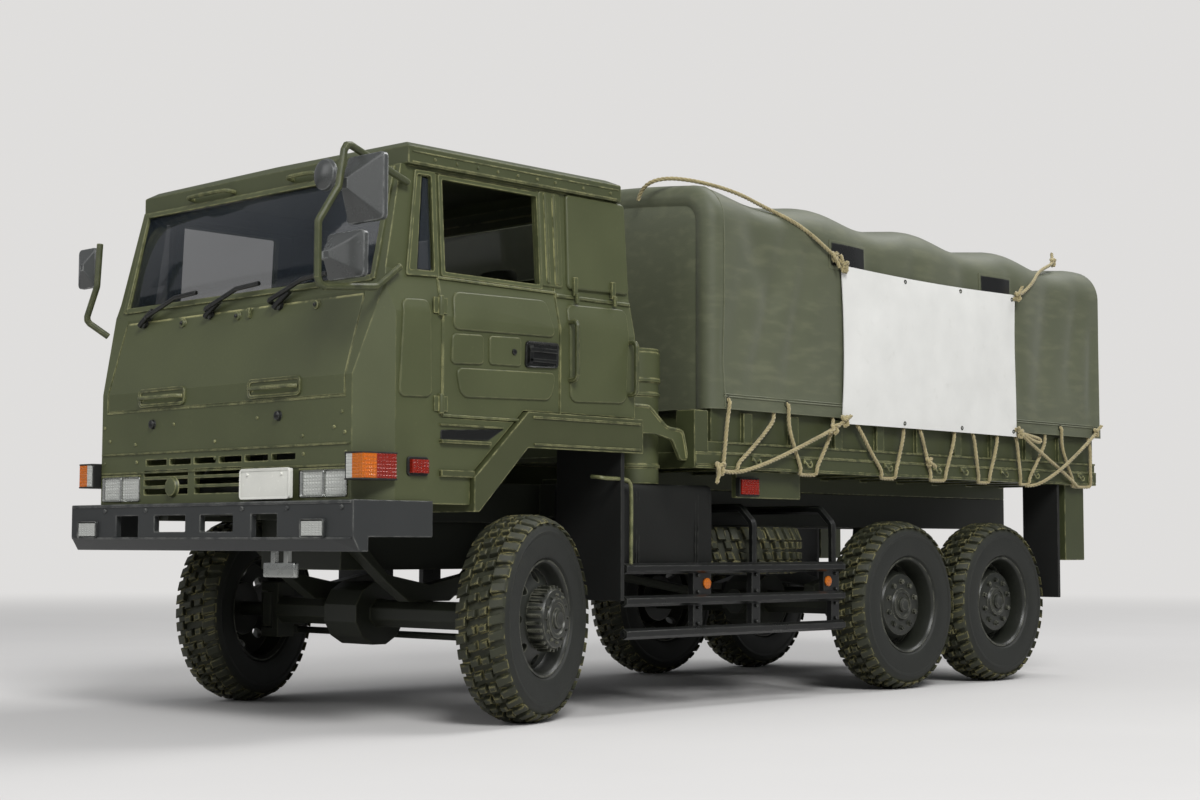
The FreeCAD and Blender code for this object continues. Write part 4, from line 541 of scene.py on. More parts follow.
def bar(x, y, z, width=0.12):
    """A squared strip with soft edges."""
    return soften(block(x, y, z), width)


def moved(piece, place, turn=0.0, axis="Z"):
    """Turn a piece by degrees about an axis, and set it down at a place in millimetres."""
    turning = Matrix.Rotation(math.radians(turn), 4, axis)
    piece.data.transform(Matrix.Translation(Vector(place) * MM) @ turning)
    return piece


def sunk(piece, facing, border, depth, limit=0.95):
    """Inset the faces that face a way by a border, and push them in by a depth."""
    edit(piece)
    way = Vector(facing)
    pick("FACE", lambda place, normal: normal.dot(way) > limit)
    bpy.ops.mesh.inset(thickness=border * MM)
    bpy.ops.transform.translate(value=way * -depth * MM)
    rest()
    return piece


def laid_out(columns, rows, place):
    """A grid whose points lie where a rule puts their column and row."""
    rest()
    bpy.ops.mesh.primitive_grid_add(x_subdivisions=columns, y_subdivisions=rows, size=2.0)
    sheet = bpy.context.object
    for index, point in enumerate(sheet.data.vertices):
        point.co = place(index % (columns + 1), index // (columns + 1))
    return sheet


def hand_over(piece, name, material, body="chassis", replaces=(), smooth=38, flat_ground=True):
    """Name a finished piece, give it its finish and tie it to the body that it moves with."""
    if isinstance(piece, list):
        piece = joined(*piece)
    hold(piece)
    settle()
    bpy.ops.object.shade_smooth_by_angle(angle=math.radians(smooth))
    if flat_ground:
        modify(piece, "WEIGHTED_NORMAL", keep_sharp=True)
    piece.name = piece.data.name = name
    piece.data.materials.clear()
    piece.data.materials.append(material)
    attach(piece, body)
    if replaces:
        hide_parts(*replaces)
    print(f"{name}: {len(piece.data.polygons)} faces")
    return piece


# %% [markdown]
# ## Tyres
# Each tyre has a smooth side wall with a raised ring, and a tread of forty
# slanted shoulder lugs a side with two staggered rows of small blocks between.
# Each kind of lug is shaped once and then spun round with copies. A value on
# each point marks tread and wall.
# %% One tyre
TYRE_RADIUS = 15.4
LUG_FOOT = 14.2
LUG_COUNT = 40
TREAD_START, TREAD_FADE = 13.5, 0.4
BEAD_HALF, BEAD_RADIUS = 2.6, 8.9
WALL_PROFILE = [
    (3.30, 8.80), (3.72, 9.10), (3.98, 9.80), (4.05, 10.80), (4.02, 11.90), (3.98, 12.45), (4.07, 12.62),
    (4.09, 12.95), (3.97, 13.15), (3.86, 13.55), (3.48, 14.15), (2.80, 14.44), (1.40, 14.50),
]


def tread_block(inner, outer, half_length, slant, drop):
    """A lug of the right half: its outer end leans down over the shoulder and its line slants."""
    lug = block((inner, outer), (-half_length, half_length), (LUG_FOOT, TYRE_RADIUS))
    edit(lug)
    pick("VERT", lambda place, way: place.x > outer - 0.01 and place.z > 15)
    bpy.ops.transform.translate(value=(-0.25 * drop * MM, 0, -drop * MM))
    pick("VERT", lambda place, way: place.x > outer - 0.3 * drop - 0.01)
    bpy.ops.transform.translate(value=(0, slant * MM, 0))
    pick("FACE", lambda place, way: way.z > 0.5)
    bpy.ops.transform.resize(value=(0.94, 0.82, 1))
    bpy.ops.mesh.bevel(offset=0.12 * MM, segments=1, affect="EDGES")
    rest()
    return lug


def make_tyre():
    """A carcass with both rows of lugs on each side, and the value that marks the tread."""
    mirrored_wall = [(-along, radius) for along, radius in reversed(WALL_PROFILE)]
    bore = [(-BEAD_HALF, BEAD_RADIUS), (BEAD_HALF, BEAD_RADIUS), WALL_PROFILE[0]]
    carcass = turned(WALL_PROFILE + mirrored_wall + bore, 64)
    half = []
    for inner, outer, half_length, slant, drop, shift in (
        (1.80, 3.98, 0.78, 0.55, 0.75, 0.0),
        (0.28, 1.55, 0.62, 0.42, 0.0, 0.5),
    ):
        lug = tread_block(inner, outer, half_length, slant, drop)
        lug.data.transform(Matrix.Rotation(2 * math.pi * shift / LUG_COUNT, 4, "X"))
        half.append(spin_round(lug, LUG_COUNT))
    tread = joined(*half)
    other = twin(tread, Matrix.Rotation(math.pi, 4, "Z"))
    whole = joined(carcass, tread, other)
    value = whole.data.attributes.new("tread", "FLOAT", "POINT")
    for point, entry in zip(whole.data.vertices, value.data):
        radius = math.hypot(point.co.y, point.co.z) / MM
        entry.value = min(1.0, max(0.0, (radius - TREAD_START) / TREAD_FADE))
    return whole


tyre_master = make_tyre()
print("One tyre:", len(tyre_master.data.polygons), "faces")

# %% [markdown]
# ## Rims
# A front rim shows a ribbed hub that stands out past the tyre. A rear rim is a
# deep bell with big nuts round a small cap. Both are turned profiles. The hand
# holes are cut with a Boolean, since eight holes through a thin cone are hard
# to lay out in the turned mesh. The profile ends where it starts, so that the
# disc is closed and the cut comes out the same each time.
# %% Front and rear rims
LIP = [(3.28, 8.84), (3.46, 8.72), (3.50, 8.50), (3.30, 8.28)]
BACK = [(-3.30, 8.28), (-3.50, 8.50), (-3.46, 8.72), (-3.28, 8.84), (3.28, 8.84)]
BORE = 1.27
SEAT = [(-3.0, 8.0)]
RIM_STEPS = 56


def nut_ring(count, ring_radius, along, radius, height):
    """A ring of nuts, each with the end of its stud."""
    nut = rod((along, 0, ring_radius), "X", height, radius, 6, 0.92)
    stud = rod((along + height * 0.8, 0, ring_radius), "X", height * 0.6, radius * 0.45, 8, 0.8)
    return spin_round(joined(nut, stud), count)


def rim_disc(face, back, ring_radius, radius):
    """A disc turned from its face and back, with a ring of eight round holes right through it."""
    disc = turned(face[::-1] + LIP[::-1] + BACK[::-1] + SEAT + back[::-1] + face[-1:], RIM_STEPS)
    return cut(disc, spin_round(rod((-4.0, 0, ring_radius), "X", 9.0, radius, 16), 8))


def make_front_rim():
    """A shallow disc with a long ribbed hub."""
    face = [(2.95, 8.05), (1.50, 7.95), (0.95, 7.60), (1.15, 7.10), (2.35, 5.20), (2.45, 4.95),
            (2.60, 4.62), (4.95, 4.50), (5.25, 4.30), (5.30, 3.95), (5.30, 3.10), (5.60, 2.95),
            (5.62, 2.35), (5.38, 2.20), (5.38, 1.55), (5.80, 1.40), (5.98, 1.00), (5.90, 0.45), (5.90, 0.002)]
    back = [(4.4, 0.002), (4.4, BORE), (0.4, BORE), (0.4, 4.4), (1.5, 4.6), (0.2, 7.3), (0.0, 7.95)]
    disc = rim_disc(face, back, 6.15, 0.85)
    rib = block((2.7, 4.95), (-0.20, 0.20), (4.40, 4.92))
    edit(rib)
    pick("FACE", lambda place, way: way.z > 0.5)
    bpy.ops.transform.resize(value=(0.96, 0.6, 1))
    rest()
    return joined(disc, spin_round(rib, 26), nut_ring(12, 3.52, 5.28, 0.24, 0.30))


def make_rear_rim():
    """A deep bell with big nuts round a small cap."""
    face = [(2.9, 8.05), (0.4, 7.95), (-0.7, 7.75), (-0.6, 7.35), (1.55, 5.85), (1.85, 5.62), (1.95, 5.35),
            (1.95, 2.95), (2.10, 2.80), (2.45, 2.62), (2.50, 2.15), (2.25, 2.02), (2.25, 1.45),
            (2.70, 1.30), (2.95, 0.95), (2.88, 0.40), (2.88, 0.002)]
    back = [(1.95, 0.002), (1.95, BORE), (-1.6, BORE), (-1.6, 4.6), (0.9, 5.2), (-1.4, 7.3), (-1.6, 7.9)]
    return joined(rim_disc(face, back, 6.62, 0.72), nut_ring(10, 4.25, 1.93, 0.52, 0.5))


front_rim_master = make_front_rim()
rear_rim_master = make_rear_rim()
print("Rims:", len(front_rim_master.data.polygons), "and", len(rear_rim_master.data.polygons), "faces")

# %% Set the wheels in place
STEER = math.radians(19.0)
WHEEL_SMOOTH = 32


def wheel_place(node, turn, axis):
    """The middle of a CAD tyre, and a turn about an axis."""
    low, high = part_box(node)
    return Matrix.Translation((low + high) / 2) @ Matrix.Rotation(turn, 4, axis)


for row, rim_master, steer in (("front", front_rim_master, STEER), ("rear_fore", rear_rim_master, 0.0),
                               ("rear_aft", rear_rim_master, 0.0)):
    for side, half_turn in (("left", 0.0), ("right", math.pi)):
        corner = f"{row}_{side}"
        matrix = wheel_place(f"tyre_{corner}", steer + half_turn, "Z")
        for master, part, material in ((tyre_master, "tyre", tyre), (rim_master, "rim", rim_paint)):
            hand_over(twin(master, matrix), f"{part.title()}_{corner}", material, f"wheel_{corner}",
                      (f"{part}_{corner}",), WHEEL_SMOOTH, False)
matrix = wheel_place("spare_tyre", math.pi / 2, "Y")
for master, name, node, material in ((tyre_master, "SpareTyre", "spare_tyre", tyre),
                                     (rear_rim_master, "SpareRim", "spare_rim", rim_paint)):
    hand_over(twin(master, matrix), name, material, "chassis", (node,), WHEEL_SMOOTH, False)
for master in (tyre_master, front_rim_master, rear_rim_master):
    bpy.data.objects.remove(master)

# %% [markdown]
# ## The canvas hood
# The hood is one sheet of canvas over five steel bows: a tunnel with round
# shoulders whose front is closed by the same cloth, drawn in to a seam down the
# middle. Between the bows it sags, on top and down the sides, and it falls in
# soft folds to a stitched hem. A grid is laid out flat and its points are moved
# by rules, because a simulation would lose the even hem and bows.
# %% The shape of the hood
HOOD_HALF = 35.7
HOOD_FRONT, HOOD_REAR = -23.8, 101.6
HOOD_BOTTOM = 48.7
RIDGE_FRONT, RIDGE_REAR = 88.2, 85.9
FIRST_BOW = HOOD_FRONT + 1.4
BOW_GAPS = 4
BOW_PITCH = (HOOD_REAR - HOOD_FRONT - 2.8) / BOW_GAPS
SHOULDER, ARCH = 6.5, 1.6
FRONT_ROUND = 2.6
HEM_TOP = 51.1
HEM_RISE = 0.16
TOP_SAG, SIDE_SAG = 1.5, 0.75


def between_bows(along):
    """0 on a bow and 1 halfway between two."""
    share = (along - FIRST_BOW) / BOW_PITCH
    return math.sin(math.pi * min(max(share, 0.0), BOW_GAPS)) ** 2


def ridge_height(along):
    """The roof's height, which falls a little towards the tail."""
    share = (along - HOOD_FRONT) / (HOOD_REAR - HOOD_FRONT)
    return RIDGE_FRONT + (RIDGE_REAR - RIDGE_FRONT) * share


# Soft folds of the left side, each from one place to another along the truck and up it,
# with its width and depth in millimetres. The right side repeats them a little shifted.
FOLDS = [
    (-14.0, 72.0, -20.0, 56.0, 3.0, -0.52),
    (-2.0, 80.0, -13.0, 53.0, 2.4, -0.83),
    (3.5, 78.0, -4.0, 52.0, 2.2, -0.68),
    (-12.5, 80.0, -8.0, 70.0, 3.2, -0.90),
    (20.0, 80.0, 26.0, 60.0, 3.0, -0.60),
    (36.0, 82.0, 30.0, 58.0, 2.6, -0.60),
    (52.0, 80.0, 56.0, 60.0, 3.0, -0.60),
    (68.0, 80.0, 70.5, 55.0, 2.4, -0.68),
    (84.0, 80.0, 78.0, 56.0, 3.4, -0.75),
    (95.0, 80.0, 90.0, 60.0, 2.4, -0.60),
    (99.0, 70.0, 98.0, 52.0, 1.6, -0.52),
]


def fold_depth(along, height, shift):
    """How far the folds draw the cloth in at a place on a side."""
    total = 0.0
    for y_start, z_start, y_end, z_end, width, depth in FOLDS:
        run = Vector((y_end - y_start, z_end - z_start))
        arm = Vector((along - y_start - shift, height - z_start))
        share = min(max(arm.dot(run) / run.length_squared, 0.0), 1.0)
        gap = (arm - run * share).length
        strength = 0.35 + 0.65 * math.sin(math.pi * (0.15 + 0.7 * share))
        total += depth * math.exp(-(gap / width) ** 2) * strength
    return total


SIDE_SHARE, ROUND_SHARE = 0.45, 0.60
RIGHT_SHIFT = 7.0
FOLD_START = 8.0


def hood_place(across, along, inset=0.0):
    """A point of the cloth, where across runs from 0 at the left hem over the roof to 1 at the right."""
    side = 1 if across <= 0.5 else -1
    share = 2 * across if side > 0 else 2 * (1 - across)
    loose = between_bows(along)
    top = ridge_height(along) - inset
    half = HOOD_HALF - inset
    corner = max(SHOULDER - inset, 0.3)
    foot = top - ARCH - corner
    if share < SIDE_SHARE:
        rise = share / SIDE_SHARE
        x, z = half, HOOD_BOTTOM + (foot - HOOD_BOTTOM) * rise
        outward = (1.0, 0.0)
    elif share < ROUND_SHARE:
        angle = math.pi / 2 * (share - SIDE_SHARE) / (ROUND_SHARE - SIDE_SHARE)
        outward = (math.cos(angle), math.sin(angle))
        x, z = half - corner + corner * outward[0], foot + corner * outward[1]
        rise = 1.0
    else:
        reach = (1 - share) / (1 - ROUND_SHARE)
        x, z = (half - corner) * reach, top - ARCH * reach ** 2
        outward = (0.0, 1.0)
        rise = 1.0
    lift = 0.0
    if inset == 0.0:
        hem = HEM_RISE if z < HEM_TOP else 0.0
        lift = hem - SIDE_SAG * loose * rise ** 1.5 * outward[0] - TOP_SAG * loose * outward[1] ** 2
        if outward[0] > 0.3:
            ease = min(1.0, (z - HOOD_BOTTOM) / FOLD_START)
            lift += fold_depth(along, z, 0.0 if side > 0 else RIGHT_SHIFT) * ease * outward[0]
    return Vector(((x + lift * outward[0]) * side, along, z + lift * outward[1])) * MM


# %% Sew the hood
ACROSS_STEPS = 150
FRONT_INSETS = [HOOD_HALF - 0.02, 30.0, 24.0, 18.0, 13.0, 9.0, 6.0, 4.4, 3.9, 3.7, 3.5, 3.1]
ROUND_STEPS = 6
LENGTH_STEPS = 132
SEAM_DIP = 0.16


def hood_rows():
    """(along, inset) of each row of the sheet, from the front seam out and back to the tail."""
    rows = []
    for inset in FRONT_INSETS:
        dip = SEAM_DIP if 3.6 < inset < 4.0 else 0.0
        rows.append((HOOD_FRONT + dip + 0.25 * math.sin(inset * 0.35) ** 2, inset))
    for step in range(ROUND_STEPS):
        angle = math.pi / 2 * step / ROUND_STEPS
        rows.append((HOOD_FRONT + FRONT_ROUND * (1 - math.cos(angle)),
                     FRONT_ROUND * (1 - math.sin(angle))))
    first = HOOD_FRONT + FRONT_ROUND
    for step in range(LENGTH_STEPS + 1):
        rows.append((first + (HOOD_REAR - first) * step / LENGTH_STEPS, 0.0))
    return rows


rows = hood_rows()
hood = laid_out(ACROSS_STEPS, len(rows) - 1,
                lambda column, row: hood_place(column / ACROSS_STEPS, *rows[row]))
edit(hood)
tidy_up()
rest()
hand_over(thicken(hood, 0.3), "CanvasHood", canvas, "chassis", ("canopy",), 50, False)
# Spread out it is a T: roof and sides in one, with the front panel on the roof's front edge.
print("Hood size in mm:", [round(side / MM, 1) for side in hood.dimensions])

# %% [markdown]
# ## The banner
# A blank white banner is tied flat along the left side. It is a thin sheet
# that bellies a little between its corner ties.
# %% Hang the banner
BANNER_STEPS = (72, 40)


def banner_place(along, up):
    """A point of the banner from its shares along and up, with slack edges and shallow waves."""
    low, high = (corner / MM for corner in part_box("banner"))
    slack = math.sin(math.pi * up)
    y = low.y + (high.y - low.y) * along + 0.7 * slack * (1 - 2 * along) * (1 if along < 0.5 else 0.5)
    sag = 0.45 * math.sin(math.pi * along)
    z = low.z + (high.z - low.z) * up - sag * up + 0.15 * sag * (1 - up)
    wave = 0.14 * math.sin(7.0 * along + 2.5 * up) + 0.12 * math.sin(13.0 * along - 4.0 * up + 1.0)
    belly = 0.55 * math.sin(math.pi * along) * math.sin(math.pi * up) ** 0.7
    return Vector((low.x + 0.1 + belly + wave * slack, y, z)) * MM


banner = laid_out(*BANNER_STEPS,
                  lambda column, row: banner_place(column / BANNER_STEPS[0], row / BANNER_STEPS[1]))
hand_over(thicken(banner, 0.18, 0.0), "Banner", banner_white, "chassis", ("banner",), 60, False)

# %% [markdown]
# ## Windows of the hood
# Small panes of clear film are sewn into the hood's sides. They are drawn
# opaque gloss black, as painted shade of the dark hood inside. Each is a patch
# of cloth with a pane on it, laid out as a grid and pressed onto the hood, so
# that it follows the round shoulder. The banner partly covers the two on the
# left.
# %% Lay patches on the hood
ROOF_START = ROUND_SHARE / 2
HALVINGS = 24
PATCH_STEPS = (12, 16)


def on_hood(along, height, lift=0.0):
    """A point of the hood's left side at a height, lifted off the cloth, in millimetres."""
    low, high = 0.0, ROOF_START
    for _ in range(HALVINGS):
        middle = (low + high) / 2
        if hood_place(middle, along).z / MM < height:
            low = middle
        else:
            high = middle
    angle = math.pi / 2 * max(0.0, 2 * low - SIDE_SHARE) / (ROUND_SHARE - SIDE_SHARE)
    return hood_place(low, along) / MM + Vector((math.cos(angle), 0, math.sin(angle))) * lift


def patch(y, z, lift, thickness):
    """A sheet between two places along the hood and two heights, pressed onto the cloth."""

    def spot(column, row):
        """Where a point of the patch lies."""
        across, up = column / PATCH_STEPS[0], row / PATCH_STEPS[1]
        return on_hood(y[0] + (y[1] - y[0]) * across, z[0] + (z[1] - z[0]) * up, lift) * MM

    return thicken(laid_out(*PATCH_STEPS, spot), thickness, 1.0)


PANES = [((8.7, 19.5), (75.6, 79.6)), ((57.7, 67.5), (75.2, 78.7))]
surrounds = [patch((y[0] - 0.6, y[1] + 0.6), (z[0] - 0.6, z[1] + 0.5), -0.02, 0.14) for y, z in PANES]
hand_over(both(*surrounds), "WindowSurrounds", canvas, smooth=50)
# The panes are opaque black: painted shade of the hood's inside behind clear film.
panes = [patch(y, z, 0.08, 0.14) for y, z in PANES]
hand_over(both(*panes), "HoodPanes", gloss_black, smooth=50)

# %% [markdown]
# ## Twine
# The ropes are straw-coloured twine of three strands. A route lists the bends of
# a rope, a NURBS curve runs smoothly through them, and three thin tubes
# wind round that curve. Ropes laid like this catch light as real twine does,
# which a bump on one smooth tube would not.
# %% Three strands round a smooth line
ROPE_STEP = 0.34
STRAND_RADIUS = 0.18
STRAND_OFFSET = 0.20
LAY = 2.3
KNOT_STEPS = 12


def smooth_line(places):
    """Even steps along the NURBS curve that a rope's bends control, in millimetres."""
    curve = bpy.data.curves.new("Route", "CURVE")
    curve.dimensions = "3D"
    curve.resolution_u = 16
    spline = curve.splines.new("NURBS")
    spline.points.add(len(places) - 1)
    for entry, place in zip(spline.points, places):
        entry.co = (*(Vector(place) * MM), 1.0)
    spline.order_u = 3
    spline.use_endpoint_u = True
    drawing = bpy.data.objects.new("Route", curve)
    line = bpy.data.meshes.new_from_object(drawing)
    dots = [point.co / MM for point in line.vertices]
    bpy.data.objects.remove(drawing)
    bpy.data.curves.remove(curve)
    bpy.data.meshes.remove(line)
    even = [dots[0].copy()]
    for dot in dots[1:]:
        while (dot - even[-1]).length >= ROPE_STEP:
            even.append(even[-1] + (dot - even[-1]).normalized() * ROPE_STEP)
    return even


def strands(places):
    """Three strands twisted round a rope's line."""
    line = smooth_line(places)
    side = Vector((0.3, 0.5, 0.8))
    found = [[], [], []]
    for index, dot in enumerate(line):
        ahead = (line[min(index + 1, len(line) - 1)] - line[max(index - 1, 0)]).normalized()
        side = (side - ahead * side.dot(ahead)).normalized()
        turn = 2 * math.pi * index * ROPE_STEP / LAY
        for number, strand in enumerate(found):
            strand.append(dot + Quaternion(ahead, turn + 2 * math.pi * number / 3) @ side * STRAND_OFFSET)
    return found


def tubes(lines, radius, fineness=1):
    """One mesh of thin round bars along lists of points."""
    rest()
    curve = bpy.data.curves.new("Tubes", "CURVE")
    curve.dimensions = "3D"
    curve.bevel_depth = radius * MM
    curve.bevel_resolution = fineness
    curve.use_fill_caps = True
    for line in lines:
        spline = curve.splines.new("POLY")
        spline.points.add(len(line) - 1)
        for entry, dot in zip(spline.points, line):
            entry.co = (*(Vector(dot) * MM), 1.0)
    piece = bpy.data.objects.new("Tubes", curve)
    bpy.context.scene.collection.objects.link(piece)
    hold(piece)
    bpy.ops.object.convert(target="MESH")
    return bpy.context.object


def bent(places, radius, fineness=1):
    """A round bar bent smoothly along a few places."""
    return tubes([smooth_line(places)], radius, fineness)


def lay_ropes(routes):
    """Twine along each route."""
    return tubes([strand for route in routes for strand in strands(route)], STRAND_RADIUS)


def knot(place, size=0.36, tail=(0.4, 0.6, -1.6)):
    """The route of an overhand knot round a rope, with a loose tail."""
    turns = []
    for step in range(KNOT_STEPS):
        angle = 2 * math.pi * step / KNOT_STEPS
        loop = Vector((-math.sin(3 * angle), math.sin(angle) + 2 * math.sin(2 * angle),
                       math.cos(angle) - 2 * math.cos(2 * angle)))
        turns.append(Vector(place) + loop * size)
    return turns + [Vector(place) + Vector(tail) * 0.6, Vector(place) + Vector(tail) * 1.3]


# %% [markdown]
# ## Lacing
# A long rope laces the hood's hem to the bed's rim: it comes out of an eyelet or
# from behind the hem, goes down, under the rim, and up again a little further
# back. The table lists where each loop leaves the hem and turns under the rim.
# %% Lace the hood to the bed
BED_SIDE = 35.2
RIM_FOOT = 38.8
ROPE_RADIUS = 0.38
# Each loop's places along the truck: its first top, both turns under the rim, its second top.
LOOPS = [
    (-20.0, -20.8, -17.1, -7.3), (-4.3, -0.2, 4.4, 9.3), (16.1, 23.6, 28.0, 30.6),
    (35.7, 39.2, 44.1, 47.3), (53.5, 55.4, 59.3, 62.2), (68.8, 70.5, 73.8, 80.1), (85.2, 90.5, 97.7, 97.2),
]
EYELETS = (-20.0, -4.3, 85.2, 99.0)
EYELET_HEIGHT = 50.3
HEM_FACE = HOOD_HALF + HEM_RISE


def lace_leg(top, turn):
    """From the hem down to the turn under the rim."""
    beside = BED_SIDE + ROPE_RADIUS
    if top in EYELETS:
        start = [(HEM_FACE - 0.7, top, EYELET_HEIGHT + 0.1), (HEM_FACE + 0.5, top, EYELET_HEIGHT),
                 (HEM_FACE + 0.42, top, EYELET_HEIGHT - 0.8)]
    else:
        start = [(BED_SIDE + 0.05, top, 50.2), (BED_SIDE + 0.1, top, 49.0), (BED_SIDE + 0.3, top, 47.9)]
    upper = (beside + 0.25, top + (turn - top) * 0.12, 46.6)
    middle = (beside + 0.1, top + (turn - top) * 0.62, 42.4)
    lower = (beside + 0.02, turn, 39.8)
    under = (BED_SIDE, turn, RIM_FOOT - ROPE_RADIUS)
    return start + [upper, middle, lower, (beside, turn, RIM_FOOT + 0.1), under]


lace = []
for top, turn, next_turn, next_top in LOOPS:
    lace += lace_leg(top, turn)
    lace.append((BED_SIDE - 0.2, (turn + next_turn) / 2, RIM_FOOT - ROPE_RADIUS))
    lace += reversed(lace_leg(next_top, next_turn))
left_ties = [
    lace,
    [(36.4, 12.0, 49.0), (36.9, 11.2, 48.3), (36.75, 8.0, 46.6), (36.55, -1.1, 43.2), (36.35, -9.0, 40.4),
     (35.9, -15.0, 38.7), (35.3, -17.5, 38.3), (35.3, -20.0, 38.3), (35.9, -21.9, 38.7)],
    knot((36.0, -22.0, 38.9), 0.40, (0.2, -1.0, -2.0)),
    knot((36.9, 11.0, 48.2), 0.36, (0.3, 1.2, 0.8)),
    knot((36.8, 8.1, 46.7), 0.34, (0.2, -1.8, -0.8)),
    knot((36.0, 38.1, 41.9), 0.30, (0.4, 1.4, -0.9)),
    [(36.2, 67.6, 49.2), (37.0, 68.6, 48.6), (36.9, 72.0, 47.4), (36.9, 75.4, 46.7), (36.8, 76.6, 47.2),
     (36.8, 75.6, 47.6), (36.9, 72.5, 48.0), (36.9, 69.6, 48.3)],
    [(36.9, 68.6, 48.4), (36.7, 71.5, 47.0), (36.5, 80.7, 43.2), (36.1, 90.0, 39.3), (35.5, 92.6, 38.3)],
    knot((36.8, 68.7, 48.4), 0.32, (0.3, -1.0, 1.0)),
    [(35.2, 99.0, 50.4), (36.4, 99.0, 50.2), (36.9, 97.6, 49.2), (37.15, 84.5, 42.1), (36.5, 77.6, 39.0),
     (35.4, 75.2, 38.2), (35.1, 73.0, 38.2)],
    knot((36.6, 98.6, 49.9), 0.30, (0.3, 1.4, 1.2)),
]
right_ties = [[(-x, y, z) for x, y, z in lace], knot((-36.0, -22.0, 38.9), 0.40, (-0.2, -1.0, -2.0)),
              knot((-36.0, 98.6, 38.8), 0.36, (-0.2, 1.0, -2.0))]
SOFT = {"smooth": 60, "flat_ground": False}
hand_over(lay_ropes(left_ties), "LacingLeft", twine, **SOFT)
hand_over(lay_ropes(right_ties), "LacingRight", twine, **SOFT)

# %% Tie the banner over the hood
top_rope = [
    (36.3, 12.3, 74.6), (36.8, 11.3, 75.4), (36.6, 8.6, 77.1), on_hood(0.7, 81.6, 0.5),
    on_hood(-6.0, 83.9, 0.6), (32.4, -13.0, 86.0), (29.9, -19.0, 87.3), (26.8, -23.6, 87.9),
    (23.6, -25.4, 87.5), (21.4, -25.7, 85.8), (20.7, -25.4, 84.2),
]
rear_rope = [
    (36.2, 67.6, 74.8), (36.7, 68.6, 75.7), on_hood(71.5, 76.6, 0.6), on_hood(75.4, 78.8, 0.5),
    on_hood(82.5, 81.9, 0.5), (31.9, 90.0, 84.7), (30.9, 92.4, 85.6),
]
ties = [top_rope, rear_rope, knot((36.8, 11.2, 75.6), 0.38, (0.2, -1.2, 1.4)), knot(top_rope[2], 0.30),
        knot((36.8, 68.5, 75.6), 0.34, (0.2, 1.0, 1.6)), knot((31.2, 91.4, 85.3), 0.30, (-0.8, 1.0, 1.6))]
hand_over(lay_ropes(ties), "BannerTies", twine, **SOFT)

# %% [markdown]
# ## Eyelets and rope hooks
# Eyelets, painted with the rest, keep the ropes from tearing the cloth. One ring
# is turned from its profile and copied to each hole. The bed's rim carries small
# plates with a bent wire each, where the lacing can hook in.
# %% Rings and hooks
EYELET = [(0.0, 0.30), (0.14, 0.34), (0.18, 0.45), (0.12, 0.62), (-0.05, 0.66), (-0.05, 0.30)]
BANNER_EYELETS = ((0.02, 0.965), (0.34, 0.975), (0.66, 0.975), (0.98, 0.965),
                  (0.02, 0.035), (0.33, 0.03), (0.66, 0.03), (0.98, 0.035))
HOOKS = (-12.0, 2.1, 25.9, 41.6, 50.7, 64.9, 76.4, 94.0)


def eyelet(place, size=1.0):
    """A ring whose axis runs across the truck."""
    ring = turned(EYELET, 14)
    ring.data.transform(Matrix.Translation(Vector(place) * MM) @ Matrix.Scale(size, 4))
    return ring


def hook(along):
    """A rounded plate on the rim with a half ring of bent wire."""
    pad = bar((35.15, 35.45), (along - 1.1, along + 1.1), (40.3, 41.2))
    loop = [(35.4, along - 0.8, 40.75), (35.85, along - 0.8, 40.3), (35.9, along - 0.45, 39.75),
            (35.9, along + 0.45, 39.75), (35.85, along + 0.8, 40.3), (35.4, along + 0.8, 40.75)]
    return joined(pad, bent(loop, 0.16))


rings = [eyelet((HEM_FACE, along, EYELET_HEIGHT)) for along in EYELETS]
hand_over(both(*rings), "HemEyelets", chassis_dark)
# Black discs in the eyelets are painted shade of the holes.
holes = [rod((HEM_FACE - 0.02, along, EYELET_HEIGHT), "X", 0.06, 0.33, 12, 0.9) for along in EYELETS]
hand_over(both(*holes), "HemEyeletHoleShade", gloss_black)
banner_rings = [eyelet(banner_place(*spot) / MM + Vector((0.1, 0, 0)), 0.62) for spot in BANNER_EYELETS]
hand_over(banner_rings, "BannerEyelets", chassis_dark)
hand_over(both(*[hook(along) for along in HOOKS]), "RopeHooks", bed_olive)

# %% [markdown]
# ## The bed's rim
# The bed's side is folded from sheet with long steps in it. Strips with soft
# edges give those steps.
# %% Strips along the bed
strips = [
    bar((35.15, 35.4), (-27.4, 100.4), (41.15, 41.5), 0.08),
    bar((35.15, 35.32), (-27.4, 100.4), (38.82, 39.3), 0.07),
    bar((34.9, 35.2), (-20.5, 100.4), (43.0, 43.35), 0.08),
    bar((35.15, 35.36), (-27.45, -21.0), (39.4, 41.2), 0.08),
    bar((35.15, 35.36), (97.4, 100.4), (39.4, 41.2), 0.08),
]
hand_over(both(*strips), "BedStrips", bed_olive)

# %% [markdown]
# ## Pressed panels of the cab
# The cab's skin is sheet with raised fields pressed into it, which stiffen it.
# Each field is an outline laid flat, with its corners rounded, drawn out by a
# third of a millimetre and given a soft lip. The cab's side and face lean back
# in steps, so a field is cut where the skin bends and laid onto it.
# %% Plates that lie on the leaning skin
SIDE_BENDS = [(59.0, 34.6), (65.1, 33.2), (80.5, 32.2)]
FACE_BENDS = [(50.0, -95.7), (63.3, -91.9), (80.5, -88.0)]


def skin(bends, height):
    """Where the leaning skin is at a height."""
    for (low, near), (high, far) in zip(bends, bends[1:]):
        if height <= high or high == bends[-1][0]:
            share = max(0.0, (height - low) / (high - low))
            return near + (far - near) * share
    return bends[0][1]


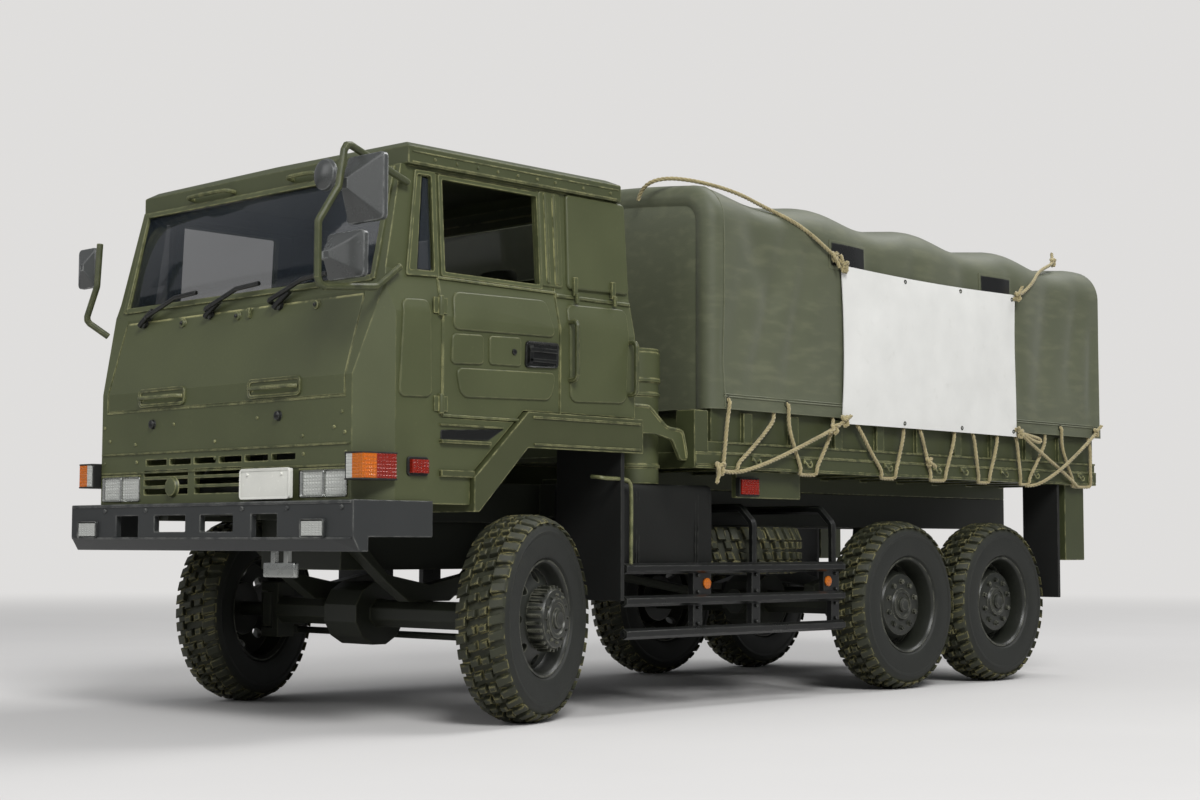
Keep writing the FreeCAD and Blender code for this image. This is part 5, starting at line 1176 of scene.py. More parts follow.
def plate(outline, axis, low, high, rounding=0.5, lip=0.2):
    """A flat field with rounded corners: an outline across an axis, drawn out from low to high."""
    rest()
    bpy.ops.mesh.primitive_circle_add(vertices=len(outline), radius=MM, fill_type="NGON")
    piece = bpy.context.object
    for point, (first, second) in zip(piece.data.vertices, outline):
        place = {"X": (low, first, second), "Y": (first, low, second), "Z": (first, second, low)}[axis]
        point.co = Vector(place) * MM
    edit(piece)
    if rounding:
        bpy.ops.mesh.bevel(offset=rounding * MM, segments=4, affect="VERTICES")
        bpy.ops.mesh.select_all(action="SELECT")
    step = Vector((0, 0, 0))
    step["XYZ".index(axis)] = (high - low) * MM
    bpy.ops.mesh.extrude_region_move(TRANSFORM_OT_translate={"value": step})
    if lip:
        bpy.ops.mesh.bevel(offset=lip * MM, segments=3, affect="EDGES")
    tidy_up()
    rest()
    return piece


def slice_at(axis, places):
    """Cut the piece being edited across an axis, at each of some places."""
    way = Vector([letter == axis for letter in "XYZ"])
    for place in places:
        select_all()
        bpy.ops.mesh.bisect(plane_co=way * place * MM, plane_no=way)


def lay_back(piece, bends, axis):
    """Cut a piece drawn upright at the skin's bends, and lean it onto the skin."""
    edit(piece)
    slice_at("Z", [height for height, _ in bends])
    rest()
    index = "XYZ".index(axis)
    for point in piece.data.vertices:
        point.co[index] += (skin(bends, point.co.z / MM) - bends[0][1]) * MM
    return piece


def side_field(outline, rise=0.3, lip=0.25, rounding=0.6):
    """A raised field on the cab's left side."""
    return lay_back(plate(outline, "X", 34.5, 34.6 + rise, rounding, lip), SIDE_BENDS, "X")


def face_field(outline, rise=0.3, lip=0.25, rounding=0.6):
    """A raised field on the cab's face."""
    return lay_back(plate(outline, "Y", -95.6, -95.7 - rise, rounding, lip), FACE_BENDS, "Y")


def oblong(first, second):
    """The outline of a rectangle."""
    return [(first[0], second[0]), (first[1], second[0]), (first[1], second[1]), (first[0], second[1])]


# %% Doors and rear corners
SIDE_FIELDS = [
    ([(-80.2, 57.1), (-79.4, 62.8), (-60.2, 63.2), (-60.0, 60.5), (-59.1, 57.5)], 0.3, 0.25, 1.3),
    ([(-80.4, 52.1), (-80.2, 56.6), (-74.0, 56.8), (-74.0, 52.4)], 0.3, 0.25, 0.8),
    ([(-72.9, 52.5), (-72.9, 56.8), (-66.4, 57.0), (-66.4, 52.6)], 0.3, 0.25, 0.6),
    ([(-79.5, 51.7), (-59.0, 52.2), (-60.1, 47.9), (-78.4, 47.4)], 0.3, 0.25, 1.3),
    ([(-56.1, 63.0), (-42.5, 63.3), (-43.5, 48.3), (-56.0, 47.9)], 0.3, 0.25, 1.4),
    ([(-55.0, 80.3), (-41.7, 80.3), (-41.6, 65.7), (-55.4, 65.4)], 0.55, 0.4, 0.8),
    ([(-60.7, 80.2), (-56.0, 80.2), (-56.2, 65.4), (-60.8, 65.4)], 0.25, 0.25, 0.6),
    (oblong((-59.7, -59.0), (65.9, 79.8)), 0.5, 0.2, 0.2),
    (oblong((-57.9, -57.2), (65.9, 79.8)), 0.5, 0.2, 0.2),
    (oblong((-57.9, -41.4), (63.9, 64.5)), 0.35, 0.2, 0.15),
    ([(-89.4, 60.9), (-84.3, 61.1), (-84.0, 47.1), (-90.2, 46.9)], 0.3, 0.25, 1.1),
]
hand_over(both(*[side_field(*row) for row in SIDE_FIELDS]), "SideFields", olive)

# %% Window frames and door edges
DOOR_TRIM = [
    (oblong((-82.15, -81.85), (44.6, 79.9)), 0.12, 0.05, 0.05),
    (oblong((-58.15, -57.85), (44.6, 64.5)), 0.12, 0.05, 0.05),
    (oblong((-82.0, -58.0), (64.35, 64.75)), 0.3, 0.12, 0.1),
    (oblong((-82.0, -58.0), (44.45, 44.85)), 0.2, 0.1, 0.1),
]


def band(outline, inner, rise):
    """A flat ring round an opening of the cab's side: an outline with another cut from it."""
    ring = plate(outline, "X", 34.3, 34.6 + rise, 0.3, 0.12)
    return lay_back(cut(ring, plate(inner, "X", 30.0, 38.0, 0.3, 0)), SIDE_BENDS, "X")


frames = [
    band([(-85.6, 79.9), (-81.7, 80.0), (-81.7, 64.6), (-88.0, 64.3)],
         [(-85.2, 79.3), (-82.6, 79.3), (-82.6, 65.4), (-87.3, 65.2)], 0.35),
    band([(-81.2, 79.8), (-60.7, 79.8), (-60.7, 64.8), (-81.2, 64.8)],
         [(-80.5, 79.1), (-61.3, 79.1), (-61.3, 65.5), (-80.5, 65.5)], 0.3),
]
hand_over(both(*frames, *[side_field(*row) for row in DOOR_TRIM]), "DoorFrames", olive)

# %% [markdown]
# ## Handles, hinges and rivets
# The door handle sits in a recess, drawn as a raised tray whose black stands
# for the recess's shade, with a bar across it. Hinges are short barrels with
# leaves, the latches of the rear lockers are bent clips, and rivets are low
# domes. One dome is shaped and copied to a list of places.
# %% Small metal parts of the cab's side
AHEAD, OUTWARD, UPWARD = (0, -1, 0), (1, 0, 0), (0, 0, 1)
ROOF_RIVETS = (-82.3, -78.0, -73.9, -69.8, -65.7, -61.6, -57.7, -51.5, -45.4)
HANDLE_OUTLINE = [(-65.6, 52.6), (-58.7, 52.9), (-58.5, 56.7), (-65.4, 56.6)]
STEP_OUTLINE = [(-82.2, 42.6), (-69.8, 43.2), (-72.9, 41.4), (-82.2, 41.2)]


def dome(place, axis, radius=0.3, height=0.16):
    """A low round head that stands on a surface."""
    head = sunk(rod((0, 0, -0.04), "Z", height + 0.04, radius, 12, 0.82), UPWARD,
                radius * 0.4, height * -0.3, 0.9)
    return moved(head, place, *{"X": (90, "Y"), "Y": (90, "X")}[axis])


def domes(places, axis, radius=0.3, height=0.16):
    """A head at each of some places."""
    return joined(*[dome(place, axis, radius, height) for place in places])


press_lines = [bar((33.0, 33.22), (-86.6, -43.6), (82.2, 82.42), 0.06),
               bar((33.0, 33.2), (-86.6, -43.6), (80.7, 80.95), 0.06)]
rivets = domes([(33.1, along, 81.6) for along in ROOF_RIVETS], "X", 0.26)
hand_over(both(rivets, *press_lines), "RoofFlange", roof_shaded_olive)
hand_over([plate(oblong(sides, (-82.0, -47.5)), "Z", 84.2, 84.75, 2.0, 0.35)
           for sides in ((-27, -1.5), (1.5, 27))], "RoofFields", roof_shaded_olive)

hinges_and_catches = []
for along, low, high in ((-82.5, 58.9, 61.8), (-82.3, 44.9, 47.7)):
    hinges_and_catches.append(soften(rod((34.85, along, low), "Z", high - low, 0.45, 12), 0.08))
    for leaf in (-1.3, 1.3):
        leaf_run = sorted((along, along + leaf))
        hinges_and_catches.append(bar((34.5, 34.85), leaf_run, (low + 0.3, high - 0.3), 0.08))
for along, low, high in ((-54.0, 63.2, 67.3), (-45.5, 63.5, 67.4)):
    hinges_and_catches.append(bar((33.6, 34.05), (along - 0.45, along + 0.45), (low + 1.2, high), 0.1))
    hinges_and_catches.append(bar((34.0, 34.5), (along - 0.3, along + 0.3), (low, low + 1.6), 0.1))
hand_over(both(*hinges_and_catches), "HingesAndCatches", olive)

# The handle's tray is black as painted shade of a recess; its bars and knob are black too.
handle_parts = [
    plate(HANDLE_OUTLINE, "X", 34.5, 34.72, 0.6, 0.1),
    sunk(plate(HANDLE_OUTLINE, "X", 34.6, 34.98, 0.6, 0.12), OUTWARD, 0.35, 0.28),
    bar((34.8, 35.35), (-65.0, -59.2), (55.0, 55.7), 0.15),
    bar((34.8, 35.2), (-65.0, -59.2), (53.5, 54.1), 0.15),
    bar((34.7, 35.2), (-65.0, -64.2), (53.3, 56.0)),
    soften(rod((34.6, -68.0, 54.7), "X", 0.55, 0.5, 16, 0.85), 0.1),
]
hand_over(both(*handle_parts), "DoorHandles", gloss_black)
# A flat black plate below the door stands for the shade inside the step recess.
hand_over(both(plate(STEP_OUTLINE, "X", 34.5, 34.68, 0.3, 0.05)), "StepRecessShade", gloss_black)
step_rims = [bar((34.5, 34.95), (-82.4, -70.0), (43.2, 43.5), 0.08),
             bar((34.5, 35.3), (-82.4, -72.8), (40.7, 41.2), 0.1),
             bar((34.5, 35.2), (-82.4, -76.0), (35.9, 36.9))]
hand_over(both(*step_rims), "StepEdges", fender_shaded_olive)

# %% [markdown]
# ## The cab's face
# Below the screen a wide lid opens over the radiator. It has two grip pockets
# with a bar across each, round knobs, and rivets along its foot. Under it a
# strip with slots and the grille are cut in the CAD skin already.
# %% Pockets, knobs and rivets
FACE_RIVETS = [(-30.5, 44.7), (-11.4, 44.6), (9.7, 44.7), (29.2, 44.8), (-28.9, 42.5), (-21.7, 41.8),
               (-0.7, 41.6), (20.4, 41.7), (27.5, 42.7), (29.9, 41.9), (-21.3, 39.0), (-0.5, 39.1),
               (20.7, 39.1), (30.2, 39.1), (-30.3, 39.0)]
LID_KNOBS = [(-13.6, 60.6), (0.6, 60.6), (19.5, 60.8)]
GRIP_HEIGHT = 48.9


def pocket(low, high):
    """A shallow tray with a raised rim and a grip bar."""
    tray = plate(oblong((low, high), (47.5, 50.4)), "Y", -95.6, -96.05, 0.9, 0.12)
    bends = [(low + 0.8, -95.7), (low + 1.0, -96.7), (low + 2.2, -96.9),
             (high - 2.2, -96.9), (high - 1.0, -96.7), (high - 0.8, -95.7)]
    return joined(sunk(tray, AHEAD, 0.5, 0.3), bent([(x, y, GRIP_HEIGHT) for x, y in bends], 0.32, 2))


def on_face(across, height, lift):
    """A place at a distance behind the cab's leaning face."""
    return (across, skin(FACE_BENDS, height) - lift, height)


face_parts = [
    pocket(-20.8, -8.4), pocket(7.5, 20.0),
    face_field(oblong((-29.9, 29.9), (46.85, 47.15)), 0.1, 0.04, 0.05),
    face_field(oblong((-31.0, 31.0), (40.2, 40.5)), 0.22, 0.08, 0.05),
    face_field(oblong((-31.0, 31.0), (37.2, 37.5)), 0.18, 0.08, 0.05),
    domes([(across, -95.7, height) for across, height in FACE_RIVETS], "Y"),
    domes([on_face(*spot, 0.05) for spot in LID_KNOBS], "Y", 0.75, 0.35),
    bar((3.3, 3.9), (-93.2, -92.7), (60.1, 61.6), 0.1),
    dome((-11.4, -95.7, 35.0), "Y", 1.7, 0.5),
]
hand_over(face_parts, "FaceFittings", olive)
knobs = [domes([(-17.0, -95.75, 44.8), (14.8, -95.75, 44.8)], "Y", 0.8, 0.4),
         domes([on_face(*spot, 0.4) for spot in LID_KNOBS], "Y", 0.35, 0.25)]
hand_over(knobs, "FaceKnobs", gloss_black)

# %% Screen frame and roof rails
SCREEN_BARS = [
    (oblong((-31.0, 31.0), (63.4, 64.3)), 0.3, 0.12, 0.2),
    (oblong((-30.6, 30.6), (79.5, 80.3)), 0.3, 0.12, 0.2),
    ([(-31.5, 63.6), (-30.5, 63.6), (-30.2, 80.2), (-31.2, 80.2)], 0.3, 0.12, 0.1),
    ([(30.5, 63.6), (31.5, 63.6), (31.2, 80.2), (30.2, 80.2)], 0.3, 0.12, 0.1),
]
rails = [bent([(low, -87.2, 81.3), (low, -88.5, 81.4), (low + 0.8, -88.9, 81.5),
               (high - 0.8, -88.9, 81.5), (high, -88.5, 81.4), (high, -87.2, 81.3)], 0.35, 2)
         for low, high in ((-19.2, -8.3), (6.6, 13.2))]
hand_over([face_field(*row) for row in SCREEN_BARS] + rails, "ScreenFrame", olive)

# %% [markdown]
# ## Lamps
# Lamp glasses sparkle because their plastic is pressed in prisms. The outer
# face of each glass is subdivided and every small face is poked up to a point,
# which makes real prisms for the light. Each headlamp glass and each glass in
# the bumper gets a rounded frame. The corner lamps run from clear through amber
# to red.
# %% Prism glasses
LENS_SMOOTH = 15


def prisms(x, y, z, facing, cuts, depth=0.12):
    """A block of lamp glass whose faces turned a given way are pressed in prisms."""
    glass = block(x, y, z)
    edit(glass)
    pick("FACE", lambda place, way: way.dot(Vector(facing)) > 0.9)
    bpy.ops.mesh.subdivide(number_cuts=cuts)
    pick("FACE", lambda place, way: way.dot(Vector(facing)) > 0.9)
    bpy.ops.mesh.poke(offset=depth * MM)
    rest()
    return glass


def bezel(x, z, front, border=0.3):
    """A rounded frame round a lamp, open in the middle, that faces forwards."""
    outer = (x[0] - border, x[1] + border), (z[0] - border, z[1] + border)
    ring = plate(oblong(*outer), "Y", front + 1.2, front, 0.4, 0.1)
    return sunk(ring, AHEAD, border * 0.8, 0.35)


HEAD_SPANS, HEAD_HEIGHTS = ((20.5, 25.3), (25.5, 30.3)), (33.2, 36.5)
FOG_SPANS, FOG_HEIGHTS = ((-32.5, -27.9), (24.4, 29.0)), (27.5, 29.5)
head_glass = [prisms(span, (-95.6, -94.6), HEAD_HEIGHTS, AHEAD, 6, 0.07) for span in HEAD_SPANS]
hand_over(both(*head_glass), "HeadlampGlasses", headlamp_glass, replaces=("clear_lamps",),
          smooth=LENS_SMOOTH)
hand_over(both(*[bezel(span, HEAD_HEIGHTS, -95.95) for span in HEAD_SPANS]), "HeadlampFrames", lamp_silver)
fog_glass = [prisms(span, (-98.9, -97.6), FOG_HEIGHTS, AHEAD, 5, 0.07) for span in FOG_SPANS]
hand_over(fog_glass, "FogGlasses", headlamp_glass, smooth=LENS_SMOOTH)
hand_over([bezel(span, FOG_HEIGHTS, -99.0, 0.35) for span in FOG_SPANS], "FogFrames", bumper_black)

# %% Corner lamps, markers and reflectors
CORNER_Z = (35.4, 38.8)
DISC = [(0.0, 0.002), (0.0, 0.9), (0.25, 0.9), (0.35, 0.72), (0.42, 0.4), (0.44, 0.002)]
clear_part = prisms((31.9, 33.2), (-97.1, -96.2), CORNER_Z, AHEAD, 6, 0.07)
hand_over(both(clear_part), "CornerLampClear", headlamp_glass, replaces=("signal_lamps",),
          smooth=LENS_SMOOTH)
amber_parts = [prisms((33.2, 35.45), (-97.1, -94.6), CORNER_Z, AHEAD, 6, 0.07),
               prisms((35.3, 35.5), (-96.9, -94.6), (35.5, 38.7), OUTWARD, 5, 0.1)]
hand_over(both(*amber_parts), "CornerLampAmber", amber_glass, smooth=LENS_SMOOTH)
red_parts = [
    prisms((31.9, 35.45), (-94.6, -91.0), CORNER_Z, OUTWARD, 6),
    prisms((33.1, 34.1), (-14.2, -9.6), (34.8, 37.3), OUTWARD, 6),
    prisms((34.6, 35.45), (-88.1, -85.0), (36.3, 38.2), OUTWARD, 4),
]
hand_over(both(*red_parts), "RedGlasses", red_glass, smooth=LENS_SMOOTH)
MARKER_X, MARKER_Y, MARKER_Z = (32.9, 33.9), (-14.5, -9.3), (34.5, 37.6)
FRAME_BARS = [
    ((31.6, 35.5), (-97.2, -90.8), (35.15, 35.4)), ((31.6, 35.5), (-97.2, -90.8), (38.8, 39.05)),
    ((31.5, 31.9), (-97.0, -91.0), (35.2, 39.0)),
    (MARKER_X, MARKER_Y, (34.5, 34.8)), (MARKER_X, MARKER_Y, (37.3, 37.6)),
    (MARKER_X, (-14.5, -14.2), MARKER_Z), (MARKER_X, (-9.6, -9.3), MARKER_Z),
]
marker_ring = plate(oblong((-88.5, -84.6), (35.9, 38.6)), "X", 34.5, 34.9, 0.5, 0.1)
hand_over(both(*[bar(*row, 0.1) for row in FRAME_BARS], marker_ring), "LampFrames", black_rubber)
reflectors = [moved(turned(DISC, 20), (33.62, along, 20.05)) for along in (-22.8, 9.9)]
hand_over(both(*reflectors), "GuardReflectors", amber_glass, smooth=50)

# %% [markdown]
# ## Mirrors
# Each mirror is a shallow shell whose back rises to a blunt point where the arm
# holds it. The shell is a rounded plate, its back is inset, drawn out and shrunk
# towards that point, and a silver glass lies in the side that faces the driver.
# %% Shells and glasses
MIRRORS = [((34.2, 42.0), (70.0, 79.3), -98.6, 1.9, (35.6, 75.4)),
           ((30.0, 38.0), (62.6, 69.1), -98.6, 1.7, (31.6, 66.0)),
           ((-40.4, -35.2), (68.0, 74.5), -94.3, 1.4, (-37.0, 71.2))]
ROUND = [(0.0, 0.002), (0.0, 2.35), (0.25, 2.4), (0.7, 2.2), (1.1, 1.5), (1.3, 0.7), (1.35, 0.002)]
GLASS_MARGIN = 0.4


def mirror_shell(x, z, rear, depth, point):
    """A shell from its rear edge forwards, with its blunt point at a place on the back."""
    shell = plate(oblong(x, z), "Y", rear, rear - 0.8, 0.8, 0.12)
    edit(shell)
    pick("FACE", lambda place, way: way.y < -0.95)
    bpy.ops.mesh.inset(thickness=0.25 * MM)
    bpy.ops.mesh.extrude_region_move(TRANSFORM_OT_translate={"value": (0, -depth * MM, 0)})
    bpy.ops.transform.resize(value=(0.16, 1, 0.16), center_override=(point[0] * MM, 0, point[1] * MM))
    rest()
    return soften(shell, 0.12, 2, 20)


def mirror_glass(x, z, rear):
    """The glass of a mirror, a little smaller than its shell."""
    outline = oblong((x[0] + GLASS_MARGIN, x[1] - GLASS_MARGIN), (z[0] + GLASS_MARGIN, z[1] - GLASS_MARGIN))
    return plate(outline, "Y", rear - 0.1, rear + 0.08, 0.6, 0.05)


spot = moved(turned(ROUND, 32), (22.5, -93.5, 79.2), -90, "Z")
hand_over([mirror_shell(*row) for row in MIRRORS] + [spot], "MirrorShells", mirror_shell_painted_sheen,
          replaces=("mirrors",), smooth=35)
hand_over([mirror_glass(*row[:3]) for row in MIRRORS], "MirrorGlasses", mirror_silver)
clamps = [bar((33.7, 36.0), (-100.9, -99.9), (74.7, 76.1), 0.15),
          bar((30.0, 31.9), (-100.6, -99.7), (65.4, 66.6), 0.15),
          bar((33.6, 35.2), (-101.1, -99.8), (75.1, 75.7))]
hand_over(clamps, "MirrorClamps", lamp_silver)

# %% [markdown]
# ## Wipers
# Three black arms rest on the screen's foot. The CAD bars already follow them,
# so only the knuckles at their feet are added, each with a round cap.
# %% Knuckles of the wipers
knuckles = []
for across, height in ((-24.4, 61.3), (-6.7, 61.4), (10.6, 61.4)):
    arm = [on_face(across - 0.6, height - 0.3, 0.6), on_face(across + 0.6, height + 0.6, 0.9),
           on_face(across + 2.6, height + 2.0, 0.9)]
    knuckles.append(soften(bent(arm, 0.5, 3), 0.15))
    knuckles.append(dome(on_face(across, height, 0.1), "Y", 0.8, 0.5))
hand_over(knuckles, "WiperKnuckles", gloss_black)

# %% [markdown]
# ## Seats
# The seats are foam under cloth. Each cushion starts as a block that is divided
# and swollen by a rule: the middle of every face stands out and the corners pull
# in, as foam does in a tight cover. The same rule presses in the sewn channels.
# %% Cushions


def cushion(x, y, z, crown=0.16, channels=0):
    """A swollen block with rounded corners, and sewn channels across its width."""
    pad = block(x, y, z)
    edit(pad)
    bpy.ops.mesh.subdivide(number_cuts=9)
    rest()
    low, high = Vector((x[0], y[0], z[0])), Vector((x[1], y[1], z[1]))
    middle, half = (low + high) / 2, (high - low) / 2
    for point in pad.data.vertices:
        place = point.co / MM - middle
        share = Vector([place[axis] / half[axis] for axis in range(3)])
        for axis in range(3):
            others = [share[other] ** 2 for other in range(3) if other != axis]
            place[axis] *= 1 - crown * sum(others) / 2
        if channels:
            wave = abs(math.sin(math.pi * channels * (share.x + 1) / 2))
            place -= Vector((0, place.y * 0.05, place.z * 0.09)) * (1 - wave) ** 6
        point.co = (middle + place) * MM
    return modify(pad, "SUBSURF", levels=1, render_levels=1)


plinths = []
for side, low, high, places, replaced in (("Right", -27.5, -13.0, 1, ()), ("Left", 1.5, 27.5, 2, ("seats",))):
    pads = [cushion((low, high), (-58.5, -46.8), (52.4, 56.6), 0.16, 3 * places),
            cushion((low + 0.2, high - 0.2), (-48.0, -44.1), (55.9, 68.2), 0.14, 3 * places)]
    width = (high - low) / places
    for place in range(places):
        centre = low + width * (place + 0.5)
        pads.append(cushion((centre - 3.6, centre + 3.6), (-47.2, -44.4), (68.3, 71.6), 0.2))
    whole = hand_over(pads, f"SeatPads{side}", seat_cloth, replaces=replaced, **SOFT)
    plinths.append(soften(block((low + 0.6, high - 0.6), (-57.0, -44.6), (47.6, 52.8)), 0.5, 3))
    plinths.append(soften(block((low + 1.6, high - 1.6), (-45.2, -44.3), (52.0, 68.8)), 0.3, 2))
hand_over(plinths, "SeatPlinths", chassis_dark)

# %% [markdown]
# ## The covered box
# Behind the cab hangs a box under a fitted black canvas cover. The cover is one
# sheet with a sewn crown: a block rounded at the top and without its floor, cut
# finely, let down a little between its ends, and creased by a rule. Twin seams
# are welts laid down its outer face.
# %% Sew the cover
COVER_X, COVER_Y, COVER_Z = (17.9, 33.0), (-42.9, -19.8), (22.4, 36.2)
COVER_WIDTH, COVER_LENGTH, SLACK_HEIGHT = 15.1, 23.1, 14.2
COVER_SIDE, COVER_TOP = 32.0, 35.0
cover = block(COVER_X, COVER_Y, COVER_Z)
edit(cover)
pick("EDGE", lambda place, way: place.z > COVER_Z[1] - 0.2)
bpy.ops.mesh.bevel(offset=1.3 * MM, segments=4, affect="EDGES")
pick("EDGE", lambda place, way: abs(way.z) > 0.9)
bpy.ops.mesh.bevel(offset=0.9 * MM, segments=3, affect="EDGES")
pick("FACE", lambda place, way: way.z < -0.9)
bpy.ops.mesh.delete(type="FACE")
for axis, low, high in (("Y", -42, -20), ("Z", 23, 36), ("X", 19, 33)):
    slice_at(axis, range(low, high))
rest()
for point in cover.data.vertices:
    place = point.co / MM
    run = (place.y - COVER_Y[0]) / COVER_LENGTH
    swing = math.sin(math.pi * run)
    creases = 0.22 * math.sin(8.0 * run + 0.35 * (place.z - COVER_Z[0])) * swing
    slack = 0.3 * swing * math.sin(math.pi * (place.z - COVER_Z[0]) / SLACK_HEIGHT)
    if place.x > COVER_SIDE:
        place.x -= 0.35 + creases - slack
    if place.z > COVER_TOP:
        sag = 0.55 * swing * math.sin(math.pi * (place.x - COVER_X[0]) / COVER_WIDTH)
        place.z -= sag - 0.1 * creases
    point.co = place * MM
hand_over(thicken(cover, 0.25), "BoxCover", black_canvas, replaces=("covered_box",), **SOFT)
SEAM_BENDS = [(24.0, 35.95), (30.0, 36.0), (32.7, 35.7), (32.75, 33.0), (32.75, 28.0), (32.7, 22.6)]
welts = [bent([(x, along, z) for x, z in SEAM_BENDS], 0.14) for along in (-38.9, -38.3, -24.6, -24.0)]
hand_over(welts, "CoverWelts", black_canvas, **SOFT)

# %% [markdown]
# ## Seams of the hood
# A cover is sewn from widths of cloth, and each seam shows as a thin welt. The
# welts are fine bars that follow the cloth: along the hem, and up one front
# corner and over the roof to the other.
# %% Welts
SEAM_STEPS, SEAM_PLACE = 20, -20.6
welt_lines = [[on_hood(along, height, 0.05) for along in range(-21, 102)] for height in (51.15, 50.75)]
corner_line = [on_hood(SEAM_PLACE, height, 0.03) for height in range(49, 80)]
for step in range(SEAM_STEPS):
    across = SIDE_SHARE / 2 + (0.5 - SIDE_SHARE / 2) * step / (SEAM_STEPS - 1)
    corner_line.append(hood_place(across, SEAM_PLACE) / MM + Vector((0, 0, 0.03)))
hand_over(both(tubes([*welt_lines, corner_line], 0.13)), "HoodWelts", canvas, **SOFT)

# %% [markdown]
# ## Behind the cab and along the side
# A sheet bracket slopes from the cab's rear corner to the bed, a bent wire step
# hangs behind the front wheel, and the guard rails carry bolts. The intake drum
# has bands along it and a wider cap.
# %% Bracket, wire step, bolts and bands
BRACKET = [(-41.3, 48.3), (-36.9, 48.5), (-32.4, 45.2), (-28.5, 44.9), (-27.4, 40.0), (-29.0, 40.0),
           (-31.0, 43.2), (-35.0, 44.0), (-41.3, 44.0)]
ROLLED_EDGE = [(-41.3, 48.4), (-37.2, 48.5), (-36.4, 48.2), (-33.0, 45.5), (-32.0, 45.1), (-29.0, 44.9),
               (-28.3, 44.3), (-27.5, 40.4)]
WIRE_STEP = [(32.0, -48.4, 36.9), (33.6, -48.4, 36.8), (34.2, -47.6, 36.6), (34.2, -43.0, 36.6),
             (34.2, -41.9, 36.2), (34.1, -41.5, 35.0), (34.1, -41.5, 30.0), (34.0, -41.5, 22.3)]
DRUM = [(0.0, 0.002), (0.0, 4.25), (16.4, 4.25), (16.5, 4.5), (21.2, 4.5), (21.75, 3.9), (21.8, 0.002)]
DRUM_BANDS = ((39.0, 4.35), (50.6, 4.35), (52.9, 4.5), (57.8, 4.25))


def drum_part(profile, steps, foot):
    """A profile turned round the drum's upright axis, from a height on."""
    return moved(turned(profile, steps), (26.5, -33.0, foot), -90, "Y")


bracket = [plate(BRACKET, "X", 32.9, 33.5, 0.35, 0.12), bent([(33.5, y, z) for y, z in ROLLED_EDGE], 0.24),
           bent(WIRE_STEP, 0.3, 2)]
drum = [drum_part(DRUM, 48, 36.2), bar((10.0, 26.5), (-37.4, -28.6), (36.2, 37.2), 0.2)]
for height, radius in DRUM_BANDS:
    profile = [(0.0, radius - 0.5), (0.0, radius), (0.12, radius + 0.12), (0.5, radius + 0.12),
               (0.62, radius), (0.62, radius - 0.5)]
    drum.append(drum_part(profile, 40, height - 0.3))
hand_over(drum, "IntakeDrum", olive, replaces=("air_intake",), smooth=40)
hand_over(bracket, "RearBracket", olive)
guard_bolts = [soften(rod((33.65, along, height), "X", 0.35, 0.34, 6, 0.92), 0.05, 1)
               for along in (-25.0, -10.0, 12.1) for height in (13.6, 16.2, 18.7, 21.4)]
tube_ends = [soften(rod((34.0, along, height), "Y", 0.25, 0.52, 14, 0.9), 0.06)
             for along in (-43.3, 13.5) for height in (12.4, 17.5, 22.6)]
hand_over(both(*guard_bolts, *tube_ends), "GuardBolts", gloss_black)

# %% [markdown]
# ## Tailgate and tail lamps
# The photograph doesn't show the tail, so it gets what such a truck has: ribs
# pressed across the gate, three hinges at its foot, a catch at each end, and
# round lamps in rubber rings.
# %% Ribs, hinges and catches
LAMP_RING = [(0.0, 1.2), (0.0, 1.75), (0.5, 1.75), (0.65, 1.55), (0.55, 1.3), (0.0, 1.2)]
LAMP_LENS = [(0.0, 0.002), (0.0, 1.35), (0.4, 1.3), (0.75, 0.9), (0.85, 0.4), (0.86, 0.002)]
gate_parts = [bar((-32.6, 32.6), (100.3, 100.95), (foot, foot + 1.0), 0.25) for foot in (44.4, 50.4, 56.4)]
for across in (-33.4, -11.0, 11.0, 33.4):
    gate_parts.append(bar((across - 0.7, across + 0.7), (100.3, 100.9), (42.0, 59.6), 0.2))
for across in (-22.0, 0.0, 22.0):
    gate_parts.append(soften(rod((across - 1.6, 101.0, 41.6), "X", 3.2, 0.55, 14), 0.1))
    gate_parts.append(bar((across - 1.2, across + 1.2), (100.3, 100.9), (41.6, 44.2), 0.15))
for across in (-33.4, 33.4):
    gate_parts.append(bar((across - 0.9, across + 0.9), (100.6, 101.5), (56.8, 58.6), 0.2))
    lever = [(101.2, 58.2), (102.0, 57.9), (102.1, 56.6), (101.4, 55.2)]
    gate_parts.append(bent([(across, y, z) for y, z in lever], 0.26, 2))
gate_parts.append(bar((-6.0, 6.0), (100.4, 100.8), (38.9, 41.2), 0.15))
hand_over(gate_parts, "TailgateFittings", bed_olive)
low, high = (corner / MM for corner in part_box("tail_lamps"))
print("Tail lamps lie between", [round(number, 1) for number in (*low, *high)])
for profile, name, material, settings in ((LAMP_RING, "TailLampRings", black_rubber, {}),
                                          (LAMP_LENS, "TailLampGlasses", red_glass, {"smooth": 50})):
    parts = [moved(turned(profile, 28), (across, 98.2, height), 90, "Z")
             for across in (-31.2, 31.2) for height in (29.7, 25.9)]
    hand_over(parts, name, material, **settings)

